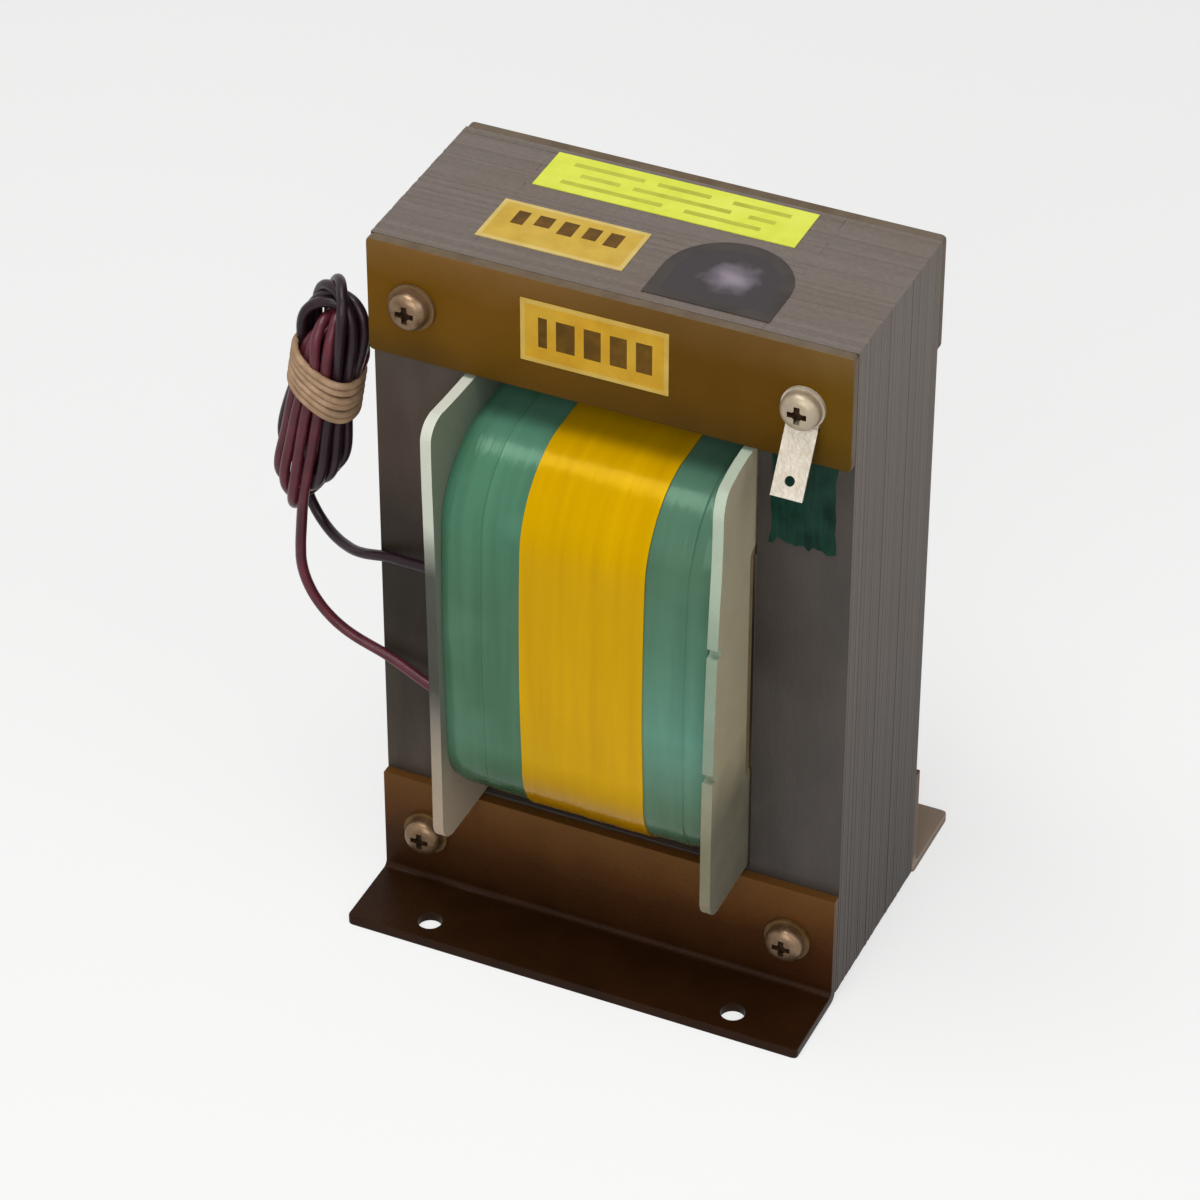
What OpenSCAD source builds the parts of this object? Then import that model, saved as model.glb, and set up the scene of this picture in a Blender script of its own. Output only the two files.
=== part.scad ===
// Mains transformer on angle brackets: an interleaved steel core, a taped coil and two primary leads.
// The coil's axis lies along X, the leads come out on the -Y side and the feet stand on Z = 0.

/* [Core] */
// Width of the core across both yokes
core_w = 108; // [96:1:130]
// Height of the core across all three legs
core_h = 168; // [156:1:190]
// Thickness of the stack of laminations
stack = 45; // [36:1:60]
// Width of each upright yoke
yoke_w = 21; // [18:0.5:25]
// Height of the top leg and of the bottom leg
leg_h = 28; // [25:0.5:31]
// Height of the centre leg inside the coil
centre_leg_h = 56; // [46:1:60]
// Packets of laminations, turned left and right by turns
packet_count = 9; // [5:2:15]
// Height of the core's underside above the feet's
core_lift = 1.5; // [0.5:0.5:4]

/* [Coil] */
// Clearance between the centre leg and the former
former_gap = 0.4; // [0.2:0.1:1]
// Wall of the former
former_wall = 1.5; // [1:0.1:2.5]
// Inside corner radius of the former
former_r = 0.5; // [0.3:0.1:1]
// Build of the primary winding
primary_t = 7; // [5:0.5:8]
// Insulation between the two windings
insulation_t = 1; // [0.5:0.1:2]
// Build of the secondary winding
secondary_t = 7.5; // [5:0.5:8.5]
// Thickness of the outer wrap
wrap_t = 0.6; // [0.3:0.1:1]
// Thickness of the coloured band round the wrap
band_t = 0.4; // [0.2:0.1:0.8]
// Width of the coloured band
band_w = 30; // [20:1:40]
// Middle of the band, to the right of the coil's middle
band_x = 2.5; // [-5:0.5:5]

/* [Flanges] */
// Thickness of each end flange
flange_t = 2.5; // [1.5:0.1:3.5]
// Clearance between a flange and the core round it
flange_gap = 0.5; // [0.3:0.1:1]
// How far the flanges stand out of the core's faces
flange_reach = 21; // [20:0.5:28]
// Outer corner radius of the flanges
flange_r = 5; // [2:0.5:10]
// Width of the notches in the right flange
notch_w = 2.4; // [1.5:0.1:4]
// Depth of those notches
notch_depth = 2; // [1:0.1:3]
// Distance between the two notches
notch_pitch = 33; // [20:1:45]

/* [Brackets] */
// Sheet thickness of the angle brackets
bracket_t = 2.5; // [1.5:0.1:4]
// Inside radius of the bracket's bend
bend_r = 1.5; // [0.5:0.1:3]
// How far each foot stands out of the core's face
foot_reach = 22; // [20:0.5:30]
// Diameter of the foot holes
foot_hole_d = 5.5; // [4:0.1:6.5]
// Distance from the foot's edge to the middle of a hole
foot_hole_edge = 6; // [5:0.5:8]
// Distance between the two holes of a foot
foot_hole_pitch = 73; // [60:1:84]
// Thickness of the top clamp strips
clamp_t = 2.5; // [1.5:0.1:4]
// How far brackets and strips stay back from the core's windows
clamp_margin = 0.5; // [0.2:0.1:1]

/* [Fasteners] */
// Diameter of the through screws
screw_d = 5; // [4:0.5:6]
// Diameter of the screw heads
head_d = 9; // [8:0.1:11]
// Height of the domed screw heads
head_h = 3.4; // [2.8:0.1:4]
// Height of the straight rim below the dome
head_rim = 1.1; // [0.6:0.1:1.6]
// Depth of the cross recess
recess_depth = 1.6; // [1:0.1:2]
// Length of each bar of the cross
recess_l = 4.6; // [3:0.1:5.5]
// Width of each bar of the cross
recess_w = 1.1; // [0.7:0.1:1.5]
// Length of the screw beyond its nut
screw_tail = 2; // [1:0.5:5]
// Clearance of a screw in the sheet metal
screw_gap = 0.25; // [0.1:0.05:0.5]
// Wall of the insulating sleeve round each screw
sleeve_wall = 0.5; // [0.3:0.1:1]
// Clearance inside and outside the sleeve
sleeve_gap = 0.15; // [0.1:0.05:0.3]
// Diameter of the plain washers
washer_d = 10.6; // [9.5:0.1:12]
// Thickness of the plain washers
washer_t = 1; // [0.6:0.1:1.4]
// Diameter of the lock washers
lock_d = 8.6; // [8:0.1:10]
// Thickness of the lock washers
lock_t = 1.2; // [0.8:0.1:1.6]
// Width of the gap in a lock washer
lock_split = 0.7; // [0.4:0.1:1.2]
// Nut size across its flats
nut_flats = 8; // [7:0.5:10]
// Height of the nuts
nut_h = 4; // [3:0.5:5]

/* [Earth tag] */
// Sheet thickness of the tag
tag_t = 0.8; // [0.5:0.1:1]
// Diameter of the tag's eye under the screw head
tag_eye_d = 10.6; // [9.5:0.1:13]
// Width of the tag's blade
tag_w = 7; // [5:0.1:9]
// Length of the sloping blade
tag_l = 15; // [11:0.5:20]
// Angle at which the blade leans out
tag_lean = 30; // [15:1:60]
// Inside radius of the tag's bend
tag_bend_r = 1; // [0.5:0.1:2]
// Diameter of the hole in the blade
tag_hole_d = 2.2; // [1.5:0.1:3]
// Distance from the blade's tip to the middle of that hole
tag_hole_up = 4.5; // [3:0.5:6]

/* [Labels] */
// Thickness of the labels
label_t = 0.2; // [0.1:0.05:0.4]
// Length of the rating label on top
rating_label_w = 59; // [40:1:70]
// Depth of the rating label
rating_label_h = 13.5; // [8:0.5:16]
// Middle of the rating label, to the right of the core's middle
rating_label_x = -2; // [-8:0.5:8]
// Distance from the rating label to the core's rear edge
rating_label_back = 1.5; // [0.5:0.5:4]
// Length of the small labels
small_label_w = 33; // [24:0.5:36]
// Height of the small labels
small_label_h = 15; // [10:0.5:18]
// Distance from the small top label to the core's left edge
top_label_side = 20; // [16:0.5:24]
// Distance from the small top label to the core's front edge
top_label_front = 7.5; // [4:0.5:9]
// Middle of the small label on the front strip
front_label_x = -2.5; // [-10:0.5:5]
// Distance from that label to the strip's top edge
front_label_drop = 5; // [3:0.5:7]
// Width of the half-round label on top
round_label_w = 28; // [20:0.5:30]
// Distance between the half-round label and the rating label
label_row_gap = 3; // [1:0.5:5]
// Distance from the half-round label to the small top label
label_side_gap = 6.5; // [3:0.5:12]
// Distance from its straight side to the core's front edge
round_label_front = 2.5; // [1:0.5:4]
// Width of the earth label below the tag
earth_label_w = 16; // [10:0.5:17]
// Height of the earth label
earth_label_h = 19; // [12:0.5:24]
// Distance from the earth label up to the strip
earth_label_drop = 1.5; // [0.5:0.5:4]

/* [Leads] */
// Diameter of the leads over their insulation
lead_d = 2.4; // [1.8:0.1:2.6]
// Clearance round a lead in the flange
lead_gap = 0.3; // [0.1:0.1:0.6]
// Distance from the former to the middle of a lead's hole in the flange
lead_out = 2.6; // [2:0.1:5]
// Runs of lead side by side in the hank's thickness
hank_layers = 4; // [2:1:6]
// Length of the hank between the middles of its end loops
hank_l = 45; // [30:1:60]
// Width of the tie along the hank
tie_w = 9; // [5:0.5:12]
// Thickness of the tie
tie_t = 0.9; // [0.5:0.1:1.5]
// Distance of the tie from the hank's lower loop
tie_z = 28; // [10:1:30]

/* [Hidden] */
$fn = 64;

// Overshoot of cutting tools beyond the surface they cut
over = 1;
// Play between a nut and its screw, where the thread is left out
thread_gap = 0.05;

// Core
face_y = stack / 2;
core_top = core_lift + core_h;
core_mid = core_lift + core_h / 2;
packet_t = stack / packet_count;
window_w = core_w - 2 * yoke_w;
window_h = (core_h - centre_leg_h - 2 * leg_h) / 2;
hole_x = (core_w - yoke_w) / 2;
hole_low = leg_h / 2;
hole_high = core_h - leg_h / 2;

// Coil, by its build out from the centre leg
build_former = former_gap + former_wall;
build_primary = build_former + primary_t;
build_insulation = build_primary + insulation_t;
build_secondary = build_insulation + secondary_t;
build_wrap = build_secondary + wrap_t;
build_band = build_wrap + band_t;
former_l = window_w - 2 * flange_gap;
coil_l = former_l - 2 * flange_t;
flange_depth = stack + 2 * flange_reach;
flange_h = centre_leg_h + 2 * (window_h - flange_gap);

// Brackets and strips
bracket_h = core_lift + leg_h - clamp_margin;
clamp_h = leg_h - clamp_margin;
foot_hole_y = face_y + foot_reach - foot_hole_edge;

// Fasteners: the hole for a sleeve, and the four corners of the core
sleeve_d = screw_d + 2 * (sleeve_gap + sleeve_wall);
core_hole_d = sleeve_d + 2 * sleeve_gap;
plate_hole_d = screw_d + 2 * screw_gap;
washer_hole_d = screw_d + 2 * screw_gap;
// Each corner gives its place and the sheet and seat under the screw head
corners = [
    [-hole_x, core_lift + hole_low, bracket_t, washer_t],
    [hole_x, core_lift + hole_low, bracket_t, washer_t],
    [-hole_x, core_lift + hole_high, clamp_t, washer_t],
    [hole_x, core_lift + hole_high, clamp_t, tag_t]
];
plain_corners = [for (i = [0 : 2]) corners[i]];
earth_corner = corners[3];

// Labels on top: the half-round one fills the depth that the rating label leaves
rating_label_front = face_y - rating_label_back - rating_label_h;
top_label_x = top_label_side - core_w / 2;
round_label_x = top_label_x + small_label_w + label_side_gap + round_label_w / 2;
round_label_y = round_label_front - face_y;
round_label_h = rating_label_front - label_row_gap - round_label_y;

// Leads: straight out of the left flange, across the yoke, past the core's edge and up into the hank
black_route = [
    [-30, -27, 90], [-32.5, -27, 90], [-35, -27, 90], [-38, -26.6, 90], [-41, -26.1, 89.8],
    [-44, -25.6, 89.5], [-47, -25.1, 89.1], [-50, -24.6, 88.8], [-52.6, -24.2, 88.3], [-55.3, -23.6, 87.4],
    [-58.4, -22.4, 86.1], [-61.4, -20.9, 85], [-64.2, -19.3, 84.4], [-66.8, -17.8, 84.2],
    [-69.2, -16.5, 84.6], [-71.4, -15.4, 85.6], [-73.3, -14.7, 87.3], [-74.9, -14.3, 89.7],
    [-76.3, -14.2, 93.3]
];
red_route = [
    [-30, -27, 57], [-32.5, -27, 57], [-35, -27, 57], [-39, -26.4, 57.5], [-43, -25.7, 58.5],
    [-47, -25, 59.8], [-50.5, -24.5, 61], [-53.6, -24.3, 62.1], [-56.9, -24.4, 63.3], [-60.1, -24.6, 64.7],
    [-63.1, -24.8, 66.5], [-66, -25, 69], [-68.4, -25.2, 72], [-70.2, -25.4, 75.4], [-71.4, -25.5, 79],
    [-71.9, -25.6, 82.6], [-71.9, -25.6, 86.2], [-71.7, -25.5, 89.6], [-71.4, -25.4, 92.5]
];
lead_sides = 8;
// The hank leans against the core's left edge
hank_foot = [-70.5, -20, 101];
hank_lean = 11.5;
// Bend of the end loops, in diameters of the lead
fold_ratio = 2.5;
fold_r = fold_ratio * lead_d;
hank_r = fold_r + lead_d / 2;
hank_t = hank_layers * lead_d;
// Outer corner radius of the tie
tie_r = 2.5;

// Colours
steel_grey = "#6f665f";
bronze_brown = "#5a3f18";
zinc = "#b9b4a8";
tin = "#e0d8c8";
pressboard = "#bfbfae";
copper = "#a85a30";
paper = "#c9b48a";
green_tape = "#56886f";
yellow_tape = "#d0a512";
lime = "#e4ef4a";
amber = "#d8b040";
black = "#2c292c";
dark_green = "#12352b";
dark_red = "#7a2a2c";
tan = "#b99a7c";

// Rectangle with round corners, centred
module rounded_rect(w, h, r) {
    square([w - 2 * r, h], center = true);
    square([w, h - 2 * r], center = true);
    for (x = [-1, 1], y = [-1, 1])
        translate([x * (w / 2 - r), y * (h / 2 - r)]) circle(r);
}

// Upright plate: an outline in X and Z, from y on towards +Y
module upright(y, t) {
    translate([0, y + t, 0]) rotate([90, 0, 0]) linear_extrude(t) children();
}

// Bar along X: an outline in Y and Z about the coil's axis, from x on towards +X
module along_coil(x, l) {
    translate([x, 0, core_mid]) rotate([90, 0, 90]) linear_extrude(l) children();
}

// Laminations

// Holes for the sleeved screws, in the core's own outline
module core_holes() {
    for (x = [-hole_x, hole_x], z = [hole_low, hole_high])
        translate([x, z]) circle(d = core_hole_d);
}

// E with its back at the left
module e_outline() {
    difference() {
        translate([-core_w / 2, 0]) square([core_w - yoke_w, core_h]);
        for (z = [leg_h, core_h - leg_h - window_h])
            translate([-window_w / 2, z]) square([window_w + over, window_h]);
        core_holes();
    }
}

// I that closes such an E at the right
module i_outline() {
    difference() {
        translate([window_w / 2, 0]) square([yoke_w, core_h]);
        core_holes();
    }
}

// Every second packet of the stack, counted from the front
module packets(first) {
    for (i = [first : 2 : packet_count - 1])
        translate([0, 0, core_lift]) upright(i * packet_t - face_y, packet_t) children();
}

module core_e_left() {
    color(steel_grey) packets(0) e_outline();
}

module core_i_right() {
    color(steel_grey) packets(0) i_outline();
}

module core_e_right() {
    color(steel_grey) packets(1) mirror([1, 0]) e_outline();
}

module core_i_left() {
    color(steel_grey) packets(1) mirror([1, 0]) i_outline();
}

// Coil

// Outline of the coil at a build out from the centre leg
module coil_outline(build) {
    rounded_rect(stack + 2 * build, centre_leg_h + 2 * build, former_r + build - former_gap);
}

// Layer between two builds, centred at x
module coil_layer(inner, outer, l, x = 0) {
    along_coil(x - l / 2, l) difference() {
        coil_outline(outer);
        coil_outline(inner);
    }
}

module coil_former() {
    color(paper) coil_layer(former_gap, build_former, former_l);
}

module primary_winding() {
    color(copper) coil_layer(build_former, build_primary, coil_l);
}

module winding_insulation() {
    color(paper) coil_layer(build_primary, build_insulation, coil_l);
}

module secondary_winding() {
    color(copper) coil_layer(build_insulation, build_secondary, coil_l);
}

module green_wrap() {
    color(green_tape) coil_layer(build_secondary, build_wrap, coil_l);
}

module yellow_band() {
    color(yellow_tape) coil_layer(build_wrap, build_band, band_w, band_x);
}

// Flange that slides over the former's end
module flange_outline() {
    difference() {
        rounded_rect(flange_depth, flange_h, flange_r);
        coil_outline(build_former);
    }
}

// Hole through the left flange where a lead comes out
module lead_hole(route) {
    translate([-former_l / 2 - over, -face_y - build_former - lead_out, route[0].z]) rotate([0, 90, 0])
        cylinder(h = flange_t + 2 * over, d = lead_d + 2 * lead_gap);
}

module left_flange() {
    color(pressboard) difference() {
        along_coil(-former_l / 2, flange_t) flange_outline();
        lead_hole(black_route);
        lead_hole(red_route);
    }
}

module right_flange() {
    color(pressboard) along_coil(former_l / 2 - flange_t, flange_t) difference() {
        flange_outline();
        for (z = [-1, 1])
            translate([-flange_depth / 2 - over, (z * notch_pitch - notch_w) / 2])
                square([notch_depth + over, notch_w]);
    }
}

// Brackets and clamp strips

// Bent angle: the upright lies on the core's face and the foot points away from it
module angle_profile() {
    outer_r = bend_r + bracket_t;
    translate([0, outer_r]) square([bracket_t, bracket_h - outer_r]);
    translate([outer_r, 0]) square([foot_reach - outer_r, bracket_t]);
    translate([outer_r, outer_r]) intersection() {
        difference() {
            circle(outer_r);
            circle(bend_r);
        }
        translate([-outer_r, -outer_r]) square(outer_r);
    }
}

// Bracket on the rear face of the core
module bracket() {
    difference() {
        translate([-core_w / 2, face_y, 0]) rotate([90, 0, 90]) linear_extrude(core_w) angle_profile();
        for (x = [-hole_x, hole_x])
            translate([x, face_y - over, core_lift + hole_low]) rotate([-90, 0, 0])
                cylinder(h = bracket_t + 2 * over, d = plate_hole_d);
        for (x = [-1, 1])
            translate([x * foot_hole_pitch / 2, foot_hole_y, -over])
                cylinder(h = bracket_t + 2 * over, d = foot_hole_d);
    }
}

// Strip on the rear face of the core, level with its top
module top_clamp() {
    difference() {
        translate([-core_w / 2, face_y, core_top - clamp_h]) cube([core_w, clamp_t, clamp_h]);
        for (x = [-hole_x, hole_x])
            translate([x, face_y - over, core_lift + hole_high]) rotate([-90, 0, 0])
                cylinder(h = clamp_t + 2 * over, d = plate_hole_d);
    }
}

module front_bracket() {
    color(bronze_brown) mirror([0, 1, 0]) bracket();
}

module rear_bracket() {
    color(bronze_brown) bracket();
}

module front_top_clamp() {
    color(bronze_brown) mirror([0, 1, 0]) top_clamp();
}

module rear_top_clamp() {
    color(bronze_brown) top_clamp();
}

// Fasteners, each drawn along +Y from its own seat

// Puts a fastener at a corner, at y along the screw
module at_corner(corner, y) {
    translate([corner[0], y, corner[1]]) rotate([-90, 0, 0]) children();
}

// Places along the screw at a corner: the head's seat and the rear washer, lock washer, nut and tip
function seat_y(corner) = -face_y - corner[2] - corner[3];
function rear_y(corner) = face_y + corner[2];
function lock_y(corner) = rear_y(corner) + washer_t;
function nut_y(corner) = lock_y(corner) + lock_t;
function tip_y(corner) = nut_y(corner) + nut_h + screw_tail;

// Domed head with a cross recess, its seat at z = 0 and its crown at -head_h
module screw_head() {
    dome_h = head_h - head_rim;
    dome_r = (head_d * head_d / 4 + dome_h * dome_h) / (2 * dome_h);
    difference() {
        intersection() {
            translate([0, 0, -head_h]) cylinder(h = head_h, d = head_d);
            translate([0, 0, dome_r - head_h]) sphere(dome_r);
        }
        for (turn = [0, 90])
            rotate(turn) translate([-recess_l / 2, -recess_w / 2, -head_h - over])
                cube([recess_l, recess_w, recess_depth + over]);
    }
}

module core_screws() {
    color(zinc) for (corner = corners)
        at_corner(corner, seat_y(corner)) {
            screw_head();
            cylinder(h = tip_y(corner) - seat_y(corner), d = screw_d);
        }
}

module screw_sleeves() {
    color(paper) for (corner = corners)
        at_corner(corner, -face_y) difference() {
            cylinder(h = stack, d = sleeve_d);
            translate([0, 0, -over]) cylinder(h = stack + 2 * over, d = sleeve_d - 2 * sleeve_wall);
        }
}

module plain_washer() {
    difference() {
        cylinder(h = washer_t, d = washer_d);
        translate([0, 0, -over]) cylinder(h = washer_t + 2 * over, d = washer_hole_d);
    }
}

module front_washers() {
    color(zinc) for (corner = plain_corners)
        at_corner(corner, seat_y(corner)) plain_washer();
}

module rear_washers() {
    color(zinc) for (corner = corners)
        at_corner(corner, rear_y(corner)) plain_washer();
}

// Split ring
module lock_washers() {
    color(zinc) for (corner = corners)
        at_corner(corner, lock_y(corner)) difference() {
            cylinder(h = lock_t, d = lock_d);
            translate([0, 0, -over]) cylinder(h = lock_t + 2 * over, d = washer_hole_d);
            translate([0, -lock_split / 2, -over]) cube([lock_d, lock_split, lock_t + 2 * over]);
        }
}

// Hexagon with its corners turned off at both ends
module hex_nuts() {
    points_d = nut_flats / cos(30);
    chamfer = (points_d - nut_flats) / 2;
    turned = [
        [0, 0], [nut_flats / 2, 0], [points_d / 2, chamfer / 2],
        [points_d / 2, nut_h - chamfer / 2], [nut_flats / 2, nut_h], [0, nut_h]
    ];
    color(zinc) for (corner = corners)
        at_corner(corner, nut_y(corner)) difference() {
            intersection() {
                cylinder(h = nut_h, d = points_d, $fn = 6);
                rotate_extrude() polygon(turned);
            }
            translate([0, 0, -over]) cylinder(h = nut_h + 2 * over, d = screw_d + 2 * thread_gap);
        }
}

// Earth tag: an eye under the screw head and a blade that leans out below it

// Side view of the tag's strip from the eye's middle down: flat, bend, sloping blade
module tag_profile() {
    flat_l = tag_eye_d / 2;
    outer_r = tag_bend_r + tag_t;
    translate([-tag_t, -flat_l]) square([tag_t, flat_l]);
    translate([-outer_r, -flat_l]) {
        intersection() {
            difference() {
                circle(outer_r);
                circle(tag_bend_r);
            }
            polygon([[0, 0], [2 * outer_r, 0], 2 * outer_r * [cos(tag_lean), -sin(tag_lean)]]);
        }
        rotate(-tag_lean) translate([tag_bend_r, -tag_l]) square([tag_t, tag_l]);
    }
}

module earth_tag() {
    eye_r = tag_eye_d / 2;
    color(tin) translate([earth_corner[0], -face_y - clamp_t, earth_corner[1]]) difference() {
        union() {
            upright(-tag_t, tag_t) circle(eye_r);
            translate([-tag_w / 2, 0, 0]) rotate([90, 0, 90]) linear_extrude(tag_w) tag_profile();
        }
        translate([0, -tag_t - over, 0]) rotate([-90, 0, 0])
            cylinder(h = tag_t + 2 * over, d = plate_hole_d);
        translate([0, -tag_bend_r - tag_t, -eye_r]) rotate([-tag_lean, 0, 0])
            translate([0, tag_bend_r - over, tag_hole_up - tag_l]) rotate([-90, 0, 0])
                cylinder(h = tag_t + 2 * over, d = tag_hole_d);
    }
}

// Labels

module rating_label() {
    color(lime) translate([rating_label_x - rating_label_w / 2, rating_label_front, core_top])
        cube([rating_label_w, rating_label_h, label_t]);
}

module top_label() {
    color(amber) translate([top_label_x, top_label_front - face_y, core_top])
        cube([small_label_w, small_label_h, label_t]);
}

module front_label() {
    color(amber) translate([
        front_label_x - small_label_w / 2,
        -face_y - clamp_t - label_t,
        core_top - front_label_drop - small_label_h
    ]) cube([small_label_w, label_t, small_label_h]);
}

// Straight side along the core's front edge, round side towards the rear
module half_round_label() {
    r = round_label_w / 2;
    color(black) translate([round_label_x, round_label_y, core_top]) linear_extrude(label_t)
        intersection() {
            translate([-r, 0]) square([round_label_w, round_label_h]);
            union() {
                translate([-r, -over]) square([round_label_w, round_label_h - r + over]);
                translate([0, round_label_h - r]) circle(r);
            }
        }
}

module earth_label() {
    color(dark_green) translate([
        hole_x - earth_label_w / 2,
        -face_y - label_t,
        core_top - clamp_h - earth_label_drop - earth_label_h
    ]) cube([earth_label_w, label_t, earth_label_h]);
}

// Leads and hank

function unit(v) = v / norm(v);

// Direction of a route at point i
function along(route, i) = unit(route[min(i + 1, len(route) - 1)] - route[max(i - 1, 0)]);

// Ring of points round point i of a route
function ring(route, i) =
    let (
        forward = along(route, i),
        side = unit(cross(forward, [0, 1, 0])),
        up = cross(side, forward)
    )
    [for (k = [0 : lead_sides - 1])
        route[i] + lead_d / 2 * (cos(k * 360 / lead_sides) * side + sin(k * 360 / lead_sides) * up)];

// Round tube swept along a route
module lead(route) {
    rings = len(route);
    last = (rings - 1) * lead_sides;
    walls = [for (i = [0 : rings - 2], k = [0 : lead_sides - 1])
        let (a = i * lead_sides + k, b = i * lead_sides + (k + 1) % lead_sides)
        [a, b, b + lead_sides, a + lead_sides]];
    start = [for (k = [lead_sides - 1 : -1 : 0]) k];
    end = [for (k = [0 : lead_sides - 1]) last + k];
    polyhedron([for (i = [0 : rings - 1]) each ring(route, i)], concat(walls, [start, end]));
}

module red_lead() {
    color(dark_red) lead(red_route);
}

module black_lead() {
    color(black) lead(black_route);
}

// Stands along the hank's own axis, from its lower loop up
module on_hank() {
    translate(hank_foot) rotate([0, hank_lean, 0]) children();
}

module lead_hank() {
    color(dark_red) on_hank() upright(-hank_t / 2, hank_t) {
        circle(hank_r);
        translate([-hank_r, 0]) square([2 * hank_r, hank_l]);
        translate([0, hank_l]) circle(hank_r);
    }
}

module hank_tie() {
    color(tan) on_hank() translate([0, 0, tie_z]) linear_extrude(tie_w) difference() {
        rounded_rect(2 * (hank_r + tie_t), hank_t + 2 * tie_t, tie_r);
        square([2 * hank_r, hank_t], center = true);
    }
}

core_e_left();
core_i_right();
core_e_right();
core_i_left();
coil_former();
left_flange();
right_flange();
primary_winding();
winding_insulation();
secondary_winding();
green_wrap();
yellow_band();
front_bracket();
rear_bracket();
front_top_clamp();
rear_top_clamp();
core_screws();
screw_sleeves();
front_washers();
rear_washers();
lock_washers();
hex_nuts();
earth_tag();
rating_label();
top_label();
front_label();
half_round_label();
earth_label();
red_lead();
black_lead();
lead_hank();
hank_tie();
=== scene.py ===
# Upright mains transformer: sheet steel core, taped coil, brown clamps, labels and a folded pair of leads
import math
import random
import bmesh
import bpy
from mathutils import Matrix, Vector
from mathutils.kdtree import KDTree


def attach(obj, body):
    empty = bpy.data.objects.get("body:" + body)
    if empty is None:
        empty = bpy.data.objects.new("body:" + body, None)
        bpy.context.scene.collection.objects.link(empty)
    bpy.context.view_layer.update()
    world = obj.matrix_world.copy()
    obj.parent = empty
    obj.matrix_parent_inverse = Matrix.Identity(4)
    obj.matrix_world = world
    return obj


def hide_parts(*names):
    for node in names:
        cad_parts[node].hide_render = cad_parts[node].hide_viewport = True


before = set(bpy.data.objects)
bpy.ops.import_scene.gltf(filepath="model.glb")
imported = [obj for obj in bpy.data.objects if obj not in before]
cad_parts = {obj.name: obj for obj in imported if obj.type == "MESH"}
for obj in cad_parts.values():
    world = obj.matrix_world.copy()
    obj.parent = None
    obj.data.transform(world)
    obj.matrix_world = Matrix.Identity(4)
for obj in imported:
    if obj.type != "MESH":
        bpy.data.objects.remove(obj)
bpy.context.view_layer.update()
mm = 0.001
over = 1  # how far a cutter reaches past what it cuts
drill = 12  # length of a rod that cuts a hole right through
smoothBelow = 32  # degrees, an edge that turns more than this stays sharp
breakAbove = 40  # degrees, an edge that turns more than this gets broken
facing = 0.9  # a face looks along an axis when its normal has this much of it
straight = 0.99  # an edge runs along an axis when this much of its length does
slack = 0.1  # how near to a line still counts as on it
bolts = {"x": 43.5, "low": 15.5, "high": 155.5}  # the four places where screws go through clamps and core
print("frame loaded,", len(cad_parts), "nodes")


# small helpers, sizes in millimetres

def makeActive(piece):
    bpy.ops.object.select_all(action="DESELECT")
    piece.select_set(True)
    bpy.context.view_layer.objects.active = piece


def addToScene(name, data):
    piece = bpy.data.objects.new(name, data)
    bpy.context.scene.collection.objects.link(piece)
    return piece


def settle(name):
    piece = bpy.context.object
    bpy.ops.object.transform_apply(location=True, rotation=True, scale=True)
    piece.name = name
    piece.data.name = name
    return piece


# the two places on an axis, lower one first, on the side -1 or 1
def between(side, near, far):
    return sorted((side * near, side * far))


def addBlock(name, low, high):
    bpy.ops.object.select_all(action="DESELECT")
    middle = [(a + b) / 2 * mm for a, b in zip(low, high)]
    bpy.ops.mesh.primitive_cube_add(size=1, location=middle)
    bpy.context.object.scale = [(b - a) * mm for a, b in zip(low, high)]
    return settle(name)


# a rod along an axis, or with a turn of its own
def addRod(name, middle, diameter, length, axis, sides=32):
    turn = {"X": (0, math.pi / 2, 0), "Y": (math.pi / 2, 0, 0), "Z": (0, 0, 0)}.get(axis, axis)
    bpy.ops.object.select_all(action="DESELECT")
    bpy.ops.mesh.primitive_cylinder_add(vertices=sides, radius=diameter / 2 * mm, depth=length * mm,
                                        location=[c * mm for c in middle], rotation=turn)
    return settle(name)


def edit(piece):
    makeActive(piece)
    bpy.ops.object.mode_set(mode="EDIT")


def endEdit():
    bpy.ops.object.mode_set(mode="OBJECT")


# selects the verts, edges or faces that pass the test, in edit mode
def choose(piece, kind, test):
    bpy.ops.mesh.select_mode(type=kind)
    bpy.ops.mesh.select_all(action="DESELECT")
    mesh = bmesh.from_edit_mesh(piece.data)
    for part in {"VERT": mesh.verts, "EDGE": mesh.edges, "FACE": mesh.faces}[kind]:
        if test(part):
            part.select_set(True)
    bmesh.update_edit_mesh(piece.data)


def middleOf(edge):
    return (edge.verts[0].co + edge.verts[1].co) / 2 / mm


def runsAlong(edge, axis):
    way = edge.verts[1].co - edge.verts[0].co
    return abs(way[axis]) > straight * way.length


# straight cuts across the whole piece, at these places on one axis
def sliceAt(piece, axis, places):
    edit(piece)
    for place in places:
        bpy.ops.mesh.select_all(action="SELECT")
        point = [0, 0, 0]
        normal = [0, 0, 0]
        point[axis] = place * mm
        normal[axis] = 1
        bpy.ops.mesh.bisect(plane_co=point, plane_no=normal)
    endEdit()


def extrude(*move):
    bpy.ops.mesh.extrude_region_move(TRANSFORM_OT_translate={"value": [c * mm for c in move]})


def roundEdges(radius, segments):
    bpy.ops.mesh.bevel(offset_type="OFFSET", offset=radius * mm, segments=segments, profile=0.5, affect="EDGES")


# rounds every edge that runs along one axis
def roundAlong(piece, axis, radius, segments):
    edit(piece)
    choose(piece, "EDGE", lambda edge: runsAlong(edge, axis))
    roundEdges(radius, segments)
    endEdit()


def finishWith(piece, kind, **settings):
    makeActive(piece)
    modifier = piece.modifiers.new(kind.title(), kind)
    for key, value in settings.items():
        setattr(modifier, key, value)
    bpy.ops.object.modifier_apply(modifier=modifier.name)


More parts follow.
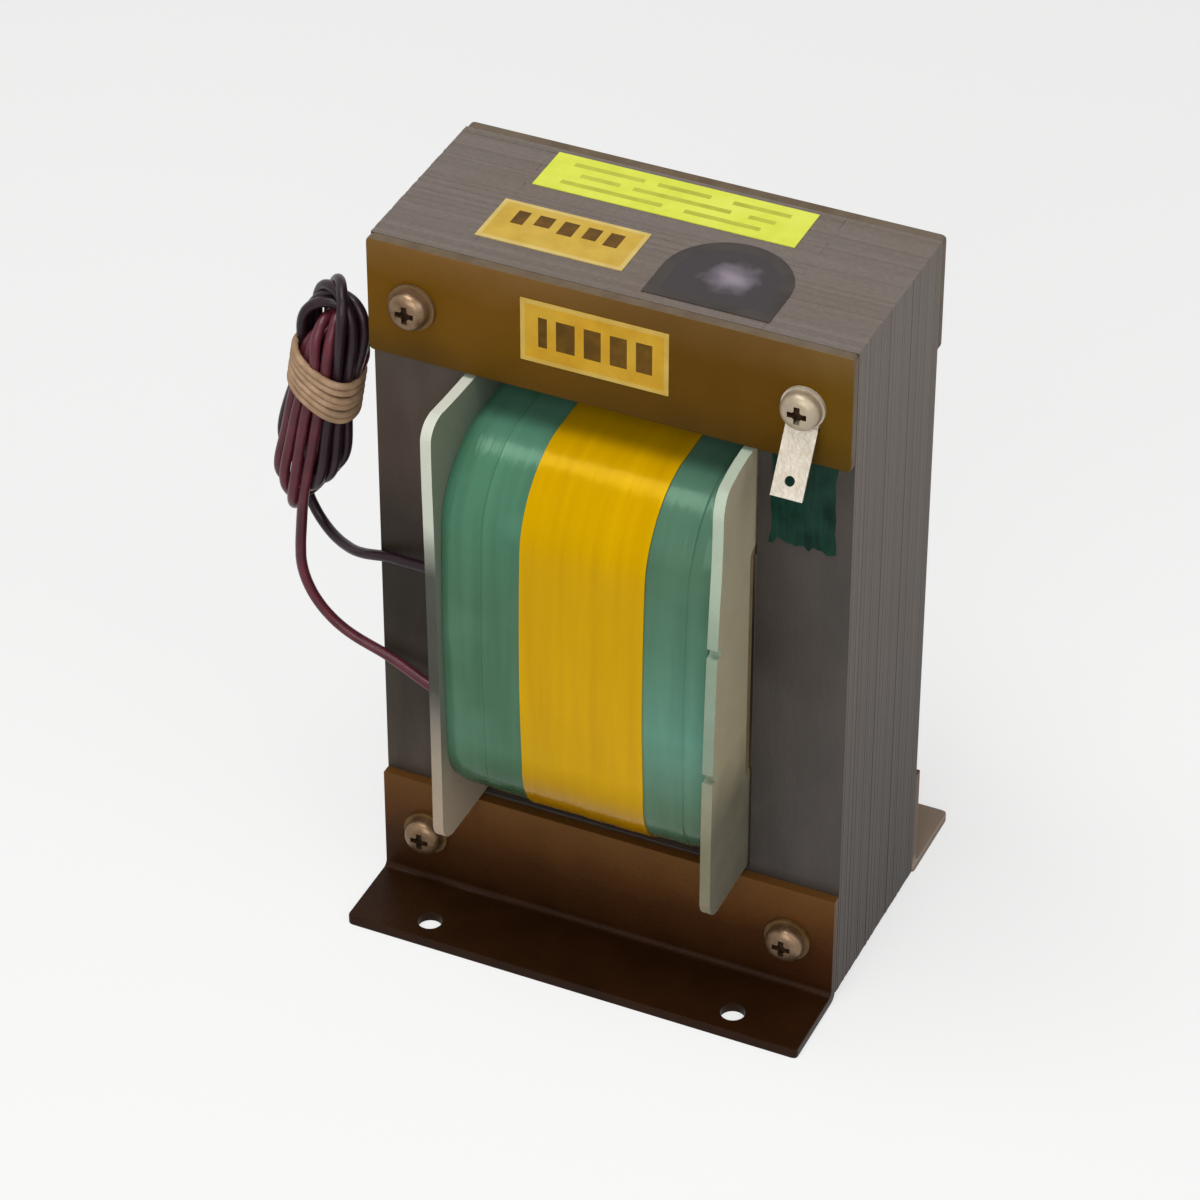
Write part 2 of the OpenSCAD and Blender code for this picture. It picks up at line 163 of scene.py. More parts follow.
def cut(piece, *cutters):
    for cutter in cutters:
        finishWith(piece, "BOOLEAN", operation="DIFFERENCE", solver="EXACT", object=cutter)
        bpy.data.objects.remove(cutter)


def breakEdges(piece, width, segments=2):
    finishWith(piece, "BEVEL", width=width * mm, segments=segments, limit_method="ANGLE",
               angle_limit=math.radians(breakAbove))


# a copy at each place, with a mesh of its own; the first one is cleared away
def copyTo(piece, places):
    copies = []
    for place in places:
        copy = addToScene(piece.name, piece.data.copy())
        copy.location = [c * mm for c in place]
        copies.append(copy)
    bpy.data.objects.remove(piece)
    return copies


def join(name, parts):
    makeActive(parts[0])
    for part in parts:
        part.select_set(True)
    bpy.ops.object.join()
    return settle(name)


# smooth shading, finishes by face, and the CAD nodes that the piece stands for
def dress(piece, nodes, materials, pick=None):
    makeActive(piece)
    if piece.type == "MESH":
        bpy.ops.object.shade_smooth_by_angle(angle=math.radians(smoothBelow))
        finishWith(piece, "WEIGHTED_NORMAL", keep_sharp=True)
    piece.data.materials.clear()
    for material in materials:
        piece.data.materials.append(material)
    if pick:
        for face in piece.data.polygons:
            face.material_index = pick(face)
    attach(piece, "root")
    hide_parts(*nodes)
    return piece


# materials

def colour(hexText):
    parts = [int(hexText[i:i + 2], 16) / 255 for i in (1, 3, 5)]
    return [c / 12.92 if c <= 0.04045 else ((c + 0.055) / 1.055) ** 2.4 for c in parts] + [1]


# an input that is given as a socket is linked, anything else is set
def setInputs(tree, node, inputs):
    for key, value in inputs.items():
        if isinstance(value, bpy.types.NodeSocket):
            tree.links.new(value, node.inputs[key])
        else:
            node.inputs[key].default_value = value


def addNode(tree, kind, inputs=None, **settings):
    node = tree.nodes.new("ShaderNode" + kind)
    for key, value in settings.items():
        setattr(node, key, value)
    setInputs(tree, node, inputs or {})
    return node


def startMaterial(name, roughness, metallic=0, specular=0.5):
    material = bpy.data.materials.new(name)
    material.use_nodes = True
    tree = material.node_tree
    shader = tree.nodes["Principled BSDF"]
    setInputs(tree, shader, {"Roughness": roughness, "Metallic": metallic, "Specular IOR Level": specular})
    return material, tree, shader, addNode(tree, "TexCoord").outputs["Object"]


# a tone in clouds of this size, which begin and end at these limits, over the colour under it
def cloudOver(tree, place, size, detail, limits, cover, under, tone):
    clouds = addNode(tree, "TexNoise", {"Vector": place, "Scale": 1 / (size * mm), "Detail": detail})
    share = addNode(tree, "MapRange", {0: clouds.outputs[0], 1: limits[0], 2: limits[1], 4: cover})
    return addNode(tree, "Mix", {0: share.outputs[0], 6: under, 7: colour(tone)}, data_type="RGBA").outputs[2]


# bump and uneven gloss from one fine noise
def roughen(tree, shader, noise, bump, deep, low, high):
    relief = addNode(tree, "Bump", {"Height": noise, "Strength": bump, "Distance": deep * mm})
    gloss = addNode(tree, "MapRange", {0: noise, 3: low, 4: high})
    setInputs(tree, shader, {"Roughness": gloss.outputs[0], "Normal": relief.outputs[0]})


# where the patches and clouds of a finish begin and end, how much the clouds cover, how far its gloss varies,
# and the size of the clouds that make a graded tone uneven, stains and painted shade alike
mottle = {"patches": (0.35, 0.65), "clouds": (0.45, 0.7), "cover": 0.75, "gloss": 0.08, "stain": 9}


# two tones mottled over patches of this size, a third in wider clouds, and a fine bump of the surface's own grain
def mottled(name, tones, patch, cloud, grain, bump, roughness, metallic=0, specular=0.25, stretch=(1, 1, 1)):
    material, tree, shader, place = startMaterial(name, roughness, metallic, specular)
    drawn = addNode(tree, "Mapping", {"Vector": place, "Scale": stretch}).outputs[0]
    tone = cloudOver(tree, drawn, patch, 4, mottle["patches"], 1, colour(tones[0]), tones[1])
    tone = cloudOver(tree, place, cloud, 2, mottle["clouds"], mottle["cover"], tone, tones[2])
    setInputs(tree, shader, {"Base Color": tone})
    grains = addNode(tree, "TexNoise", {"Vector": drawn, "Scale": 1 / (grain * mm), "Detail": 3}).outputs[0]
    roughen(tree, shader, grains, bump, grain, roughness - mottle["gloss"], roughness + mottle["gloss"])
    return material


# lays tones over a material's colour by height, or along another axis: a stop is a place in millimetres and a tone
def toneByHeight(material, stops, uneven, share=1, blend="MIX", axis=2):
    tree = material.node_tree
    shader = tree.nodes["Principled BSDF"]
    before = shader.inputs["Base Color"].links[0].from_socket
    place = addNode(tree, "TexCoord").outputs["Object"]
    parts = addNode(tree, "SeparateXYZ", {0: place})
    clouds = addNode(tree, "TexNoise", {"Vector": place, "Scale": 1 / (mottle["stain"] * mm), "Detail": 3})
    height = addNode(tree, "Math", {0: clouds.outputs[0], 1: uneven * mm, 2: parts.outputs[axis]},
                     operation="MULTIPLY_ADD")
    low, high = stops[0][0], stops[-1][0]
    height = addNode(tree, "MapRange", {0: height.outputs[0], 1: (low + uneven / 2) * mm,
                                        2: (high + uneven / 2) * mm})
    ramp = addNode(tree, "ValToRGB", {0: height.outputs[0]})
    points = ramp.color_ramp.elements
    for level, tone in stops[1:-1]:
        points.new((level - low) / (high - low))
    for point, (level, tone) in zip(points, stops):
        point.color = colour(tone)
    tone = addNode(tree, "Mix", {0: share, 6: before, 7: ramp.outputs[0]}, data_type="RGBA", blend_type=blend)
    setInputs(tree, shader, {"Base Color": tone.outputs[2]})


# camera at the photograph's angle, pale floor and soft light

view = {"azimuth": 24.5, "elevation": 37, "distance": 1060, "aim": (-9, -8, 79), "lens": 148,
        "sensor": 36, "reach": 50000}


def aim(thing, place):
    thing.rotation_euler = (Vector(place) * mm - thing.location).to_track_quat("-Z", "Y").to_euler()


def setCamera():
    turn, rise = math.radians(view["azimuth"]), math.radians(view["elevation"])
    back = Vector((math.sin(turn) * math.cos(rise), -math.cos(turn) * math.cos(rise), math.sin(rise)))
    data = bpy.data.cameras.new("camera")
    data.lens = view["lens"]
    data.sensor_width = view["sensor"]
    data.clip_end = view["reach"] * mm
    camera = addToScene("camera", data)
    camera.location = Vector(view["aim"]) * mm + back * view["distance"] * mm
    aim(camera, view["aim"])
    bpy.context.scene.camera = camera


lamps = {"overhead": {"place": (-130, -150, 860), "size": (500, 250), "power": 3.0},
         "front": {"place": (150, -800, 560), "size": (600, 600), "power": 3.6},
         "right": {"place": (560, -220, 620), "size": (400, 400), "power": 0.95}}
room = {"level": 0.22, "floor": "#F6F6F4", "floorSize": 8000, "floorWhite": 0.66, "lampsAim": (0, 0, 80)}


# 1 for rays that show the room itself: to the camera, in gloss and through glass
def seenRays(tree):
    rays = addNode(tree, "LightPath").outputs
    seen = addNode(tree, "Math", {0: rays["Is Camera Ray"], 1: rays["Is Glossy Ray"]}, operation="MAXIMUM")
    seen = addNode(tree, "Math", {0: seen.outputs[0], 1: rays["Is Transmission Ray"]}, operation="MAXIMUM")
    return seen.outputs[0]


def setLight():
    for name, lamp in lamps.items():
        data = bpy.data.lights.new(name + "Lamp", "AREA")
        data.shape = "RECTANGLE"
        data.size, data.size_y = [c * mm for c in lamp["size"]]
        data.energy = lamp["power"]
        light = addToScene(name + "Lamp", data)
        light.location = Vector(lamp["place"]) * mm
        aim(light, room["lampsAim"])
    world = bpy.data.worlds.new("paleRoom")
    world.use_nodes = True
    bpy.context.scene.world = world
    tree = world.node_tree
    level = addNode(tree, "MapRange", {0: seenRays(tree), 3: room["level"], 4: 1.0})
    setInputs(tree, tree.nodes["Background"], {"Color": (1, 1, 1, 1), "Strength": level.outputs[0]})
    bpy.ops.object.select_all(action="DESELECT")
    bpy.ops.mesh.primitive_plane_add(size=room["floorSize"] * mm)
    floor = settle("floor")
    paper, tree, shader = startMaterial("matt paper sweep", roughness=0.9)[:3]
    setInputs(tree, shader, {"Base Color": colour(room["floor"])})
    # the paper shows mostly white, and still takes the shadow
    white = addNode(tree, "Emission", {"Strength": 1.0})
    share = addNode(tree, "Math", {0: seenRays(tree), 1: room["floorWhite"]}, operation="MULTIPLY")
    both = addNode(tree, "MixShader", {0: share.outputs[0], 1: shader.outputs[0], 2: white.outputs[0]})
    setInputs(tree, tree.nodes["Material Output"], {0: both.outputs[0]})
    floor.data.materials.append(paper)
    bpy.context.scene.view_settings.view_transform = "Standard"


setCamera()
setLight()
print("camera, floor and light set")


# the two leads, each one curve from the flange into the hank

leads = {
    "diameter": 2.4,
    "black": [(-30, -27, 90), (-32.5, -27, 90), (-35, -27, 90), (-38, -26.6, 90), (-41, -26.1, 89.8),
              (-44, -25.6, 89.5), (-47, -25.1, 89.1), (-50, -24.6, 88.8), (-52.6, -24.2, 88.3), (-55.3, -23.6, 87.4),
              (-58.4, -22.4, 86.1), (-61.4, -20.9, 85), (-64.2, -19.3, 84.4), (-66.8, -17.8, 84.2),
              (-69.2, -16.5, 84.6), (-71.4, -15.4, 85.6), (-73.3, -14.7, 87.3), (-74.9, -14.3, 89.7),
              (-76.3, -14.2, 93.3)],
    "red": [(-30, -27, 57), (-32.5, -27, 57), (-35, -27, 57), (-39, -26.4, 57.5), (-43, -25.7, 58.5),
            (-47, -25, 59.8), (-50.5, -24.5, 61), (-53.6, -24.3, 62.1), (-56.9, -24.4, 63.3), (-60.1, -24.6, 64.7),
            (-63.1, -24.8, 66.5), (-66, -25, 69), (-68.4, -25.2, 72), (-70.2, -25.4, 75.4), (-71.4, -25.5, 79),
            (-71.9, -25.6, 82.6), (-71.9, -25.6, 86.2), (-71.7, -25.5, 89.6), (-71.4, -25.4, 92.5)],
    "foot": (-71.5, -20, 101), "lean": 9.5,
    # loops of the hank: side of the run up, as an angle round the hank's axis, then the loop's top and bottom
    "redLoops": [(-79, 41, -1.5), (-101, 39.5, 0), (-124, 38, 1.5), (-146, 36.5, 0)],
    "blackLoops": [(124, 46.5, 4.5), (146, 45, 6), (169, 43.5, 7.5), (-169, 42, 0)],
    # how the last run comes in from its side, and down from its top; then the height at which the cut ends lie
    "lastRun": [(0.9, 5), (0.5, 12), (0.2, 19)], "endIn": 0.1, "redTail": 9, "blackTail": 15,
    # the hank's outline, its play away from the tie, and the waist that the tie draws in
    "halfWidth": 6.9, "halfDepth": 5.9, "looseWidth": 0.8, "looseDepth": 0.6,
    "tieWidth": 5.5, "tieDepth": 4.8, "tieAt": 28.5, "tieTilt": 0.42, "tieHalf": 5.5,
    "clear": -55.5,  # the hank stays to the left of this, beside the core
    "step": 2.4, "arcSteps": 10, "held": 4, "gap": 2.36, "rounds": 120, "smoothing": 12, "unevenness": 0.3, "seed": 5,
    # how much runs that touch move apart, a bend eases and a stretched step draws in, each round
    "push": 0.45, "stiff": 1.4, "pull": 0.5, "near": 3,  # points this near along one lead don't push each other
    "redLength": 497, "blackLength": 500,
}


def onHank(across, deep, up):
    lean = math.radians(leads["lean"])
    return Vector((leads["foot"][0] + across * math.cos(lean) + up * math.sin(lean), leads["foot"][1] + deep,
                   leads["foot"][2] - across * math.sin(lean) + up * math.cos(lean)))


def fromHank(point):
    lean = math.radians(leads["lean"])
    x, y, z = Vector(point) - Vector(leads["foot"])
    return Vector((x * math.cos(lean) - z * math.sin(lean), y, x * math.sin(lean) + z * math.cos(lean)))


def sideOf(angle):
    angle = math.radians(angle)
    return Vector((leads["halfWidth"] * math.cos(angle), leads["halfDepth"] * math.sin(angle), 0))


# points of one lead in the hank: up, over the top, down the far side and back under to the next loop
def windHank(name):
    loops = leads[name + "Loops"]
    half = [math.pi * i / leads["arcSteps"] for i in range(leads["arcSteps"] + 1)]
    above = Vector((0, 0, 1))
    points = [fromHank(p) for p in leads[name][-leads["held"]:]]
    for number, (angle, top, bottom) in enumerate(loops):
        side = sideOf(angle)
        points += [side * math.cos(a) + above * (top + side.length * math.sin(a)) for a in half]
        if number + 1 < len(loops):
            after = sideOf(loops[number + 1][0])
            points += [(after - side) / 2 - (after + side) / 2 * math.cos(a)
                       + above * (bottom - side.length * math.sin(a)) for a in half]
        else:
            points += [side * -share + above * (top - down) for share, down in leads["lastRun"]]
            points.append(side * -leads["endIn"] + above * leads[name + "Tail"])
    return spaced(points)


# the same path with its points a step apart
def spaced(points):
    path = [points[0]]
    rest = leads["step"]
    for a, b in zip(points, points[1:]):
        length = (b - a).length
        while rest <= length:
            path.append(a + (b - a) * rest / length)
            rest += leads["step"]
        rest -= length
    return path


# keeps a point inside the hank's outline, which the tie draws in
def heldIn(point):
    near = math.exp(-((point.z + leads["tieTilt"] * point.x - leads["tieAt"]) / leads["tieHalf"]) ** 2)
    width = leads["halfWidth"] + leads["looseWidth"]
    width -= (width - leads["tieWidth"]) * near
    depth = leads["halfDepth"] + leads["looseDepth"]
    depth -= (depth - leads["tieDepth"]) * near
    past = max(1, math.hypot(point.x / width, point.y / depth))
    lean = math.radians(leads["lean"])
    limit = (leads["clear"] - leads["foot"][0] - point.z * math.sin(lean)) / math.cos(lean)
    return Vector((min(point.x / past, limit), point.y / past, point.z))


# presses the runs together, as the tie does, and pushes apart those that come too near, for a set number of rounds
def pressTogether(chains):
    dice = random.Random(leads["seed"])
    held, loose = leads["held"], leads["unevenness"]
    for chain in chains:
        for i in range(held, len(chain)):
            chain[i] = chain[i] + Vector([dice.uniform(-loose, loose) for axis in range(3)])
    for turn in range(leads["rounds"] + leads["smoothing"]):
        pressing = turn < leads["rounds"]
        owners = [(number, i) for number, chain in enumerate(chains) for i in range(len(chain))]
        tree = KDTree(len(owners))
        for key, (number, i) in enumerate(owners):
            tree.insert(chains[number][i], key)
        tree.balance()
        pressed = [list(chain) for chain in chains]
        for number, i in owners:
            chain = chains[number]
            if i < held:
                continue
            shift = Vector((0, 0, 0))
            for other, key, away in tree.find_range(chain[i], leads["gap"]):
                if pressing and away > 0 and (owners[key][0] != number or abs(owners[key][1] - i) > leads["near"]):
                    shift += (chain[i] - other) / away * (leads["gap"] - away) * leads["push"]
            if i + 2 < len(chain):
                # how far the point lies off a smooth line through its neighbours
                off = (chain[i - 2] - 4 * chain[i - 1] + 6 * chain[i] - 4 * chain[i + 1] + chain[i + 2]) / 16
                shift -= off * leads["stiff"]
            pressed[number][i] = heldIn(chain[i] + shift) if pressing else chain[i] + shift
        for chain in pressed:
            for i in range(held, len(chain)):
                step = chain[i] - chain[i - 1]
                chain[i] = chain[i] - step * (1 - leads["step"] / step.length) * leads["pull"]
        chains = pressed
    return chains


cordSteps = 4  # of a cord's round section, and from point to point


def makeCurve(name, points, thick, closed):
    curve = bpy.data.curves.new(name, "CURVE")
    curve.dimensions = "3D"
    curve.bevel_depth = thick / 2 * mm
    curve.bevel_resolution = curve.resolution_u = cordSteps
    curve.use_fill_caps = True
    spline = curve.splines.new("BEZIER")
    spline.bezier_points.add(len(points) - 1)
    spline.use_cyclic_u = closed
    for knot, point in zip(spline.bezier_points, points):
        knot.co = Vector(point) * mm
        knot.handle_left_type = "AUTO"
        knot.handle_right_type = "AUTO"
    return addToScene(name, curve)


# soft PVC, extruded: even colour, satin, a little dust
softPvc = {"grain": 0.7, "bump": 0.06, "roughness": 0.32}
redPvc = mottled("red PVC insulation", ("#602631", "#4C1D27", "#41171E"), 5, 14, specular=0.3, **softPvc)
blackPvc = mottled("black PVC insulation", ("#2A1820", "#1E1118", "#311E26"), 5, 14, specular=0.25, **softPvc)
# natural rubber, moulded: tan, matt, slightly powdery
rubber = mottled("natural rubber", ("#B4957A", "#9C7F62", "#8A7058"), 3, 9, grain=0.6, bump=0.1, roughness=0.6,
                 specular=0.15)

# each turn of the tie has its height and its slant
tie = {"turns": [(24.2, 0.44), (25.9, 0.47), (27.6, 0.41), (29.4, 0.46), (31.2, 0.4), (32.8, 0.36)],
       "halfWidth": 7.4, "halfDepth": 6.8, "thick": 1.6, "points": 24, "fullness": 0.85}


# natural rubber band in slanting turns round the hank
def makeTie():
    parts = []
    for up, tilt in tie["turns"]:
        ring = []
        for i in range(tie["points"]):
            a = 2 * math.pi * i / tie["points"]
            across = math.copysign(abs(math.cos(a)) ** tie["fullness"], math.cos(a)) * tie["halfWidth"]
            deep = math.copysign(abs(math.sin(a)) ** tie["fullness"], math.sin(a)) * tie["halfDepth"]
            ring.append(onHank(across, deep, up - tilt * across))
        turn = makeCurve("bandTurn", ring, tie["thick"], True)
        makeActive(turn)
        bpy.ops.object.convert(target="MESH")
        parts.append(bpy.context.object)
    return dress(join("rubberTie", parts), ["hank_tie"], [rubber])


rubberTie = makeTie()
wound = pressTogether([windHank("red"), windHank("black")])
# the last two points have no neighbours to ease them, so they are left off
for name, material, chain in (("red", redPvc, wound[0]), ("black", blackPvc, wound[1])):
    points = [Vector(p) for p in leads[name][:-leads["held"]]] + [onHank(*p) for p in chain[:-2]]
    lead = dress(makeCurve(name + "Lead", points, leads["diameter"], False),
                 [name + "_lead", "lead_hank"], [material])
    print(name, "lead,", round(sum(math.dist(a, b) for a, b in zip(points, points[1:]))), "mm along its points")


# core: E and I sheets, stacked in packets that face left and right by turns

core = {"halfWidth": 54, "low": 1.5, "high": 169.5, "face": 22.5, "yoke": 21, "leg": 28, "window": 28,
        "packets": 9, "sheets": 5,  # drawn 1 mm thick, as half a millimetre is too fine to show
        "edgeBreak": 0.07, "slip": 0.05, "hole": 6.6, "seed": 11}
sheetThick = 2 * core["face"] / core["packets"] / core["sheets"]


# one sheet with its back at the left (side -1) or right, and with or without legs
def makeSheet(side, legs):
    low, high = core["low"], core["high"]
    inner = core["halfWidth"] - core["yoke"]
    across = between(side, inner, core["halfWidth"])
    sheet = addBlock("sheet", (across[0], 0, low), (across[1], sheetThick, high))
    if legs:
        marks = [low + core["leg"], low + core["leg"] + core["window"],
                 high - core["leg"] - core["window"], high - core["leg"]]

        def onLeg(face):
            z = face.calc_center_median().z / mm
            return face.normal.x * side < -facing and not marks[0] < z < marks[1] and not marks[2] < z < marks[3]

        sliceAt(sheet, 2, marks)
        edit(sheet)
        choose(sheet, "FACE", onLeg)
        extrude(-side * 2 * inner, 0, 0)
        endEdit()
    for z in (bolts["low"], bolts["high"]):
        cut(sheet, addRod("hole", (side * bolts["x"], 0, z), core["hole"], drill, "Y", sides=16))
    breakEdges(sheet, core["edgeBreak"], segments=1)
    return sheet


# every other packet, from the first one that faces this way
def stackSheets(name, node, side, legs, first, front):
    dice = random.Random(core["seed"] + 2 * first + legs)
    slip = core["slip"]
    places = []
    for packet in range(first, core["packets"], 2):
        for layer in range(core["sheets"]):
            y = (packet * core["sheets"] + layer) * sheetThick - core["face"]
            places.append((dice.uniform(-slip, slip), y, dice.uniform(-slip, slip)))
    return dress(join(name, copyTo(makeSheet(side, legs), places)), [node], [sheetEdge, front],
                 lambda face: int(abs(face.normal.y) > facing))


# tones from sheet to sheet, stains in clouds, and fine specks with their bump and gloss
edgeLook = {"tones": ("#766C65", "#6C625B"), "stain": "#6E5F52", "cloud": 34, "clouds": (0.45, 0.75), "cover": 0.5,
            "speck": 1.2, "specks": (0.3, 0.7), "speckTones": (0.9, 1.07), "bump": 0.2, "deep": 0.3,
            "roughness": (0.42, 0.6)}


# punched silicon steel edges under thin varnish: grey, each sheet a little lighter or darker than the next
def makeSheetEdge():
    material, tree, shader, place = startMaterial("punched silicon steel edge", roughness=0.5, specular=0.2)
    parts = addNode(tree, "SeparateXYZ", {0: place})
    sheet = addNode(tree, "Math", {0: parts.outputs[1], 1: 1 / (sheetThick * mm), 2: core["face"] / sheetThick},
                    operation="MULTIPLY_ADD")
    sheet = addNode(tree, "Math", {0: sheet.outputs[0]}, operation="FLOOR")
    chance = addNode(tree, "TexWhiteNoise", {"W": sheet.outputs[0]}, noise_dimensions="1D")
    light, dark = [colour(tone) for tone in edgeLook["tones"]]
    tone = addNode(tree, "Mix", {0: chance.outputs[0], 6: light, 7: dark}, data_type="RGBA").outputs[2]
    tone = cloudOver(tree, place, edgeLook["cloud"], 3, edgeLook["clouds"], edgeLook["cover"], tone, edgeLook["stain"])
    specks = addNode(tree, "TexNoise", {"Vector": place, "Scale": 1 / (edgeLook["speck"] * mm), "Detail": 4}).outputs[0]
    low, high = edgeLook["specks"]
    dark, light = edgeLook["speckTones"]
    share = addNode(tree, "MapRange", {0: specks, 1: low, 2: high, 3: dark, 4: light})
    tone = addNode(tree, "Mix", {0: 1.0, 6: tone, 7: share.outputs[0]}, data_type="RGBA", blend_type="MULTIPLY")
    setInputs(tree, shader, {"Base Color": tone.outputs[2]})
    roughen(tree, shader, specks, edgeLook["bump"], edgeLook["deep"], *edgeLook["roughness"])
    return material


sheetEdge = makeSheetEdge()
# darker towards the bottom
toneByHeight(sheetEdge, [(0, "#9A989A"), (40, "#BABABA"), (80, "#D4D3D2"), (120, "#E9E7E6"), (160, "#FFFFFF")],
             uneven=10, blend="MULTIPLY")
# rolled silicon steel sheet, dipped in dark varnish: nearly black brown, satin, streaked along the sheet
sheetFace = mottled("varnished silicon steel sheet", ("#4C4642", "#423D39", "#352D28"), 10, 40, grain=0.8, bump=0.1,
                    roughness=0.45, specular=0.2, stretch=(1, 1, 0.3))
# the left yoke's sheet face, carrying painted shade from the flange and the leads
shadedSheetFace = mottled("varnished silicon steel sheet, painted shade", ("#5E554C", "#50473F", "#43352E"), 8, 40, grain=0.9, bump=0.1,
                      roughness=0.45, specular=0.15, stretch=(1, 1, 0.2))
# painted shade across the middle of the left yoke, and less of it below, where the flange and the leads shade it
toneByHeight(shadedSheetFace, [(30, "#D1CDC9"), (56, "#BFBAB5"), (72, "#8B867F"), (98, "#99948F"), (114, "#F2EDE8"),
                           (141, "#FFFFFF")], uneven=9, blend="MULTIPLY")
stackSheets("leftSheets", "core_e_left", -1, True, 0, shadedSheetFace)
stackSheets("rightBars", "core_i_right", 1, False, 0, sheetFace)
stackSheets("rightSheets", "core_e_right", 1, True, 1, sheetFace)
stackSheets("leftBars", "core_i_left", -1, False, 1, shadedSheetFace)
print("core stacked")


# the winding presses the free ends of the flanges outwards, most at their upper corners

splay = {"from": 22.5, "to": 43.5, "low": 45, "high": 128, "left": 0.8, "right": 1.9, "least": 0.15}


def splayAt(place, side):
    out = max(0, (abs(place.y) - splay["from"]) / (splay["to"] - splay["from"]))
    rise = min(1, max(0, (place.z - splay["low"]) / (splay["high"] - splay["low"])))
    share = splay["least"] + (1 - splay["least"]) * rise ** 2
    return side * splay["left" if side < 0 else "right"] * share * out ** 2


# coil: tape wrapped round the winding, crowned on all four sides

coil = {"halfLength": 30, "halfDepth": 40.5, "middle": 85.5, "halfHeight": 46, "corner": 18.1, "cornerSteps": 14,
        "frontCrown": 1.6, "topCrown": 0.9, "crownPower": 1.5, "lowCorner": 1.3,
        "shoulder": 0.7, "shoulderFrom": 26.5, "shoulderWide": 3.5,
        "ripples": [(0.07, 0.9, 0.03), (0.05, 0.2, 0.16)],  # height, and how fast each runs along x and z
        "splayFrom": 15, "splayShare": 0.75,  # the tape's ends go part of the way with the flanges
        "wrap": 0.6, "laps": (-20.6, 25.2), "lapStep": 0.22, "lapEdge": 0.15,
        "bandLeft": -11.8, "bandRight": 16.3, "band": 0.4,
        "tailLow": 58, "tailHigh": 83, "tail": 0.2, "tailIn": 0.5, "tailLeft": 0.4, "tailRight": 0.3,
        # cuts that let the tape follow the winding
        "cutsDeep": range(-20, 21, 5), "cutsHigh": range(-25, 26, 5),
        "wrapCuts": [-29.4, -28.5, -27.5, -26.5, -23, -16, -12, -6, 0, 6, 12, 17, 21, 26.5, 27.5, 28.5, 29.4],
        "bandCuts": [-11.4, -9, -5, -1, 3, 7, 11, 14, 15.9],
        "tailCuts": [-9, -5, -1, 3, 7, 11, 14], "tailCutsHigh": [63, 68, 73, 78]}


# pushes a tape ring out to the crowned, lapped and shouldered form that it has over the winding
def followWinding(piece, laps):
    depth, height = coil["halfDepth"], coil["halfHeight"]
    for vertex in piece.data.vertices:
        x, y, z = vertex.co / mm
        z -= coil["middle"]
        outY = math.copysign(max(abs(y) - depth + coil["corner"], 0), y)
        outZ = math.copysign(max(abs(z) - height + coil["corner"], 0), z)
        out = Vector((0, outY, outZ)).normalized()
        crown = math.cos(math.pi / 2 * min(1, abs(z) / height)) ** coil["crownPower"]
        push = coil["frontCrown"] * abs(out.y) * crown
        crown = math.cos(math.pi / 2 * min(1, abs(y) / depth)) ** coil["crownPower"]
        push += coil["topCrown"] * abs(out.z) * crown
        push += coil["lowCorner"] * 2 * abs(out.y * out.z) * (z < 0)
        push -= coil["shoulder"] * max(0, (abs(x) - coil["shoulderFrom"]) / coil["shoulderWide"]) ** 2
        push += sum(rise * math.sin(x * along + z * up) for rise, along, up in coil["ripples"])
        if laps and coil["laps"][0] < x < coil["laps"][1]:
            push += coil["lapStep"]
        vertex.co += out * push * mm
        end = max(0, (abs(x) - coil["splayFrom"]) / (coil["halfLength"] - coil["splayFrom"]))
        vertex.co.x += coil["splayShare"] * splayAt(vertex.co / mm, math.copysign(1, x)) * end * mm


def makeTapeRing(name, left, right, grow, thick, cuts, laps):
    depth, height, middle = coil["halfDepth"] + grow, coil["halfHeight"] + grow, coil["middle"]
    piece = addBlock(name, (left, -depth, middle - height), (right, depth, middle + height))
    roundAlong(piece, 0, coil["corner"] + grow, coil["cornerSteps"])
    edit(piece)
    choose(piece, "FACE", lambda face: abs(face.normal.x) > facing)
    bpy.ops.mesh.delete(type="FACE")
    endEdit()
    sliceAt(piece, 0, cuts)
    sliceAt(piece, 1, coil["cutsDeep"])
    sliceAt(piece, 2, [middle + z for z in coil["cutsHigh"]])
    followWinding(piece, laps)
    finishWith(piece, "SOLIDIFY", thickness=thick * mm, offset=-1)
    return piece


# polyester tape, drawn tight: glossy film, fine streaks and ridges along the wrap
alongWrap = (1, 0.05, 0.05)
film = {"grain": 1.2, "bump": 0.1, "stretch": alongWrap}
greenTape = mottled("green polyester tape", ("#4B7B60", "#437058", "#5A8B75"), 3, 24,
                    roughness=0.18, specular=0.24, **film)
paleTape = mottled("green polyester tape, paler roll", ("#5F8F7D", "#568574", "#6A9A88"), 3, 24,
                   roughness=0.18, specular=0.24, **film)
yellowTape = mottled("yellow polyester tape", ("#CE9E00", "#C29300", "#C39702"), 3, 30,
                     roughness=0.16, specular=0.32, **film)
# darker towards the lower edges, and the paler green also darker higher up
toneByHeight(greenTape, [(39, "#B09C88"), (47, "#BEB0A0"), (53, "#DCCFC4"), (60, "#FAEAE6"), (98, "#FAEAE6"),
                         (116, "#FFFFFF"), (132, "#FFFFFF")], uneven=4, blend="MULTIPLY")
toneByHeight(paleTape, [(39, "#A08C78"), (55, "#E0C8B6"), (76, "#FFFFFF"), (97, "#DEDCCE"), (118, "#C4BEAE"),
                        (132, "#D0CEC2")], uneven=4, blend="MULTIPLY")
toneByHeight(yellowTape, [(39, "#B09C88"), (47, "#BEB0A0"), (53, "#E0DAD0"), (60, "#FFFFFF"), (132, "#FFFFFF")],
             uneven=4, blend="MULTIPLY")
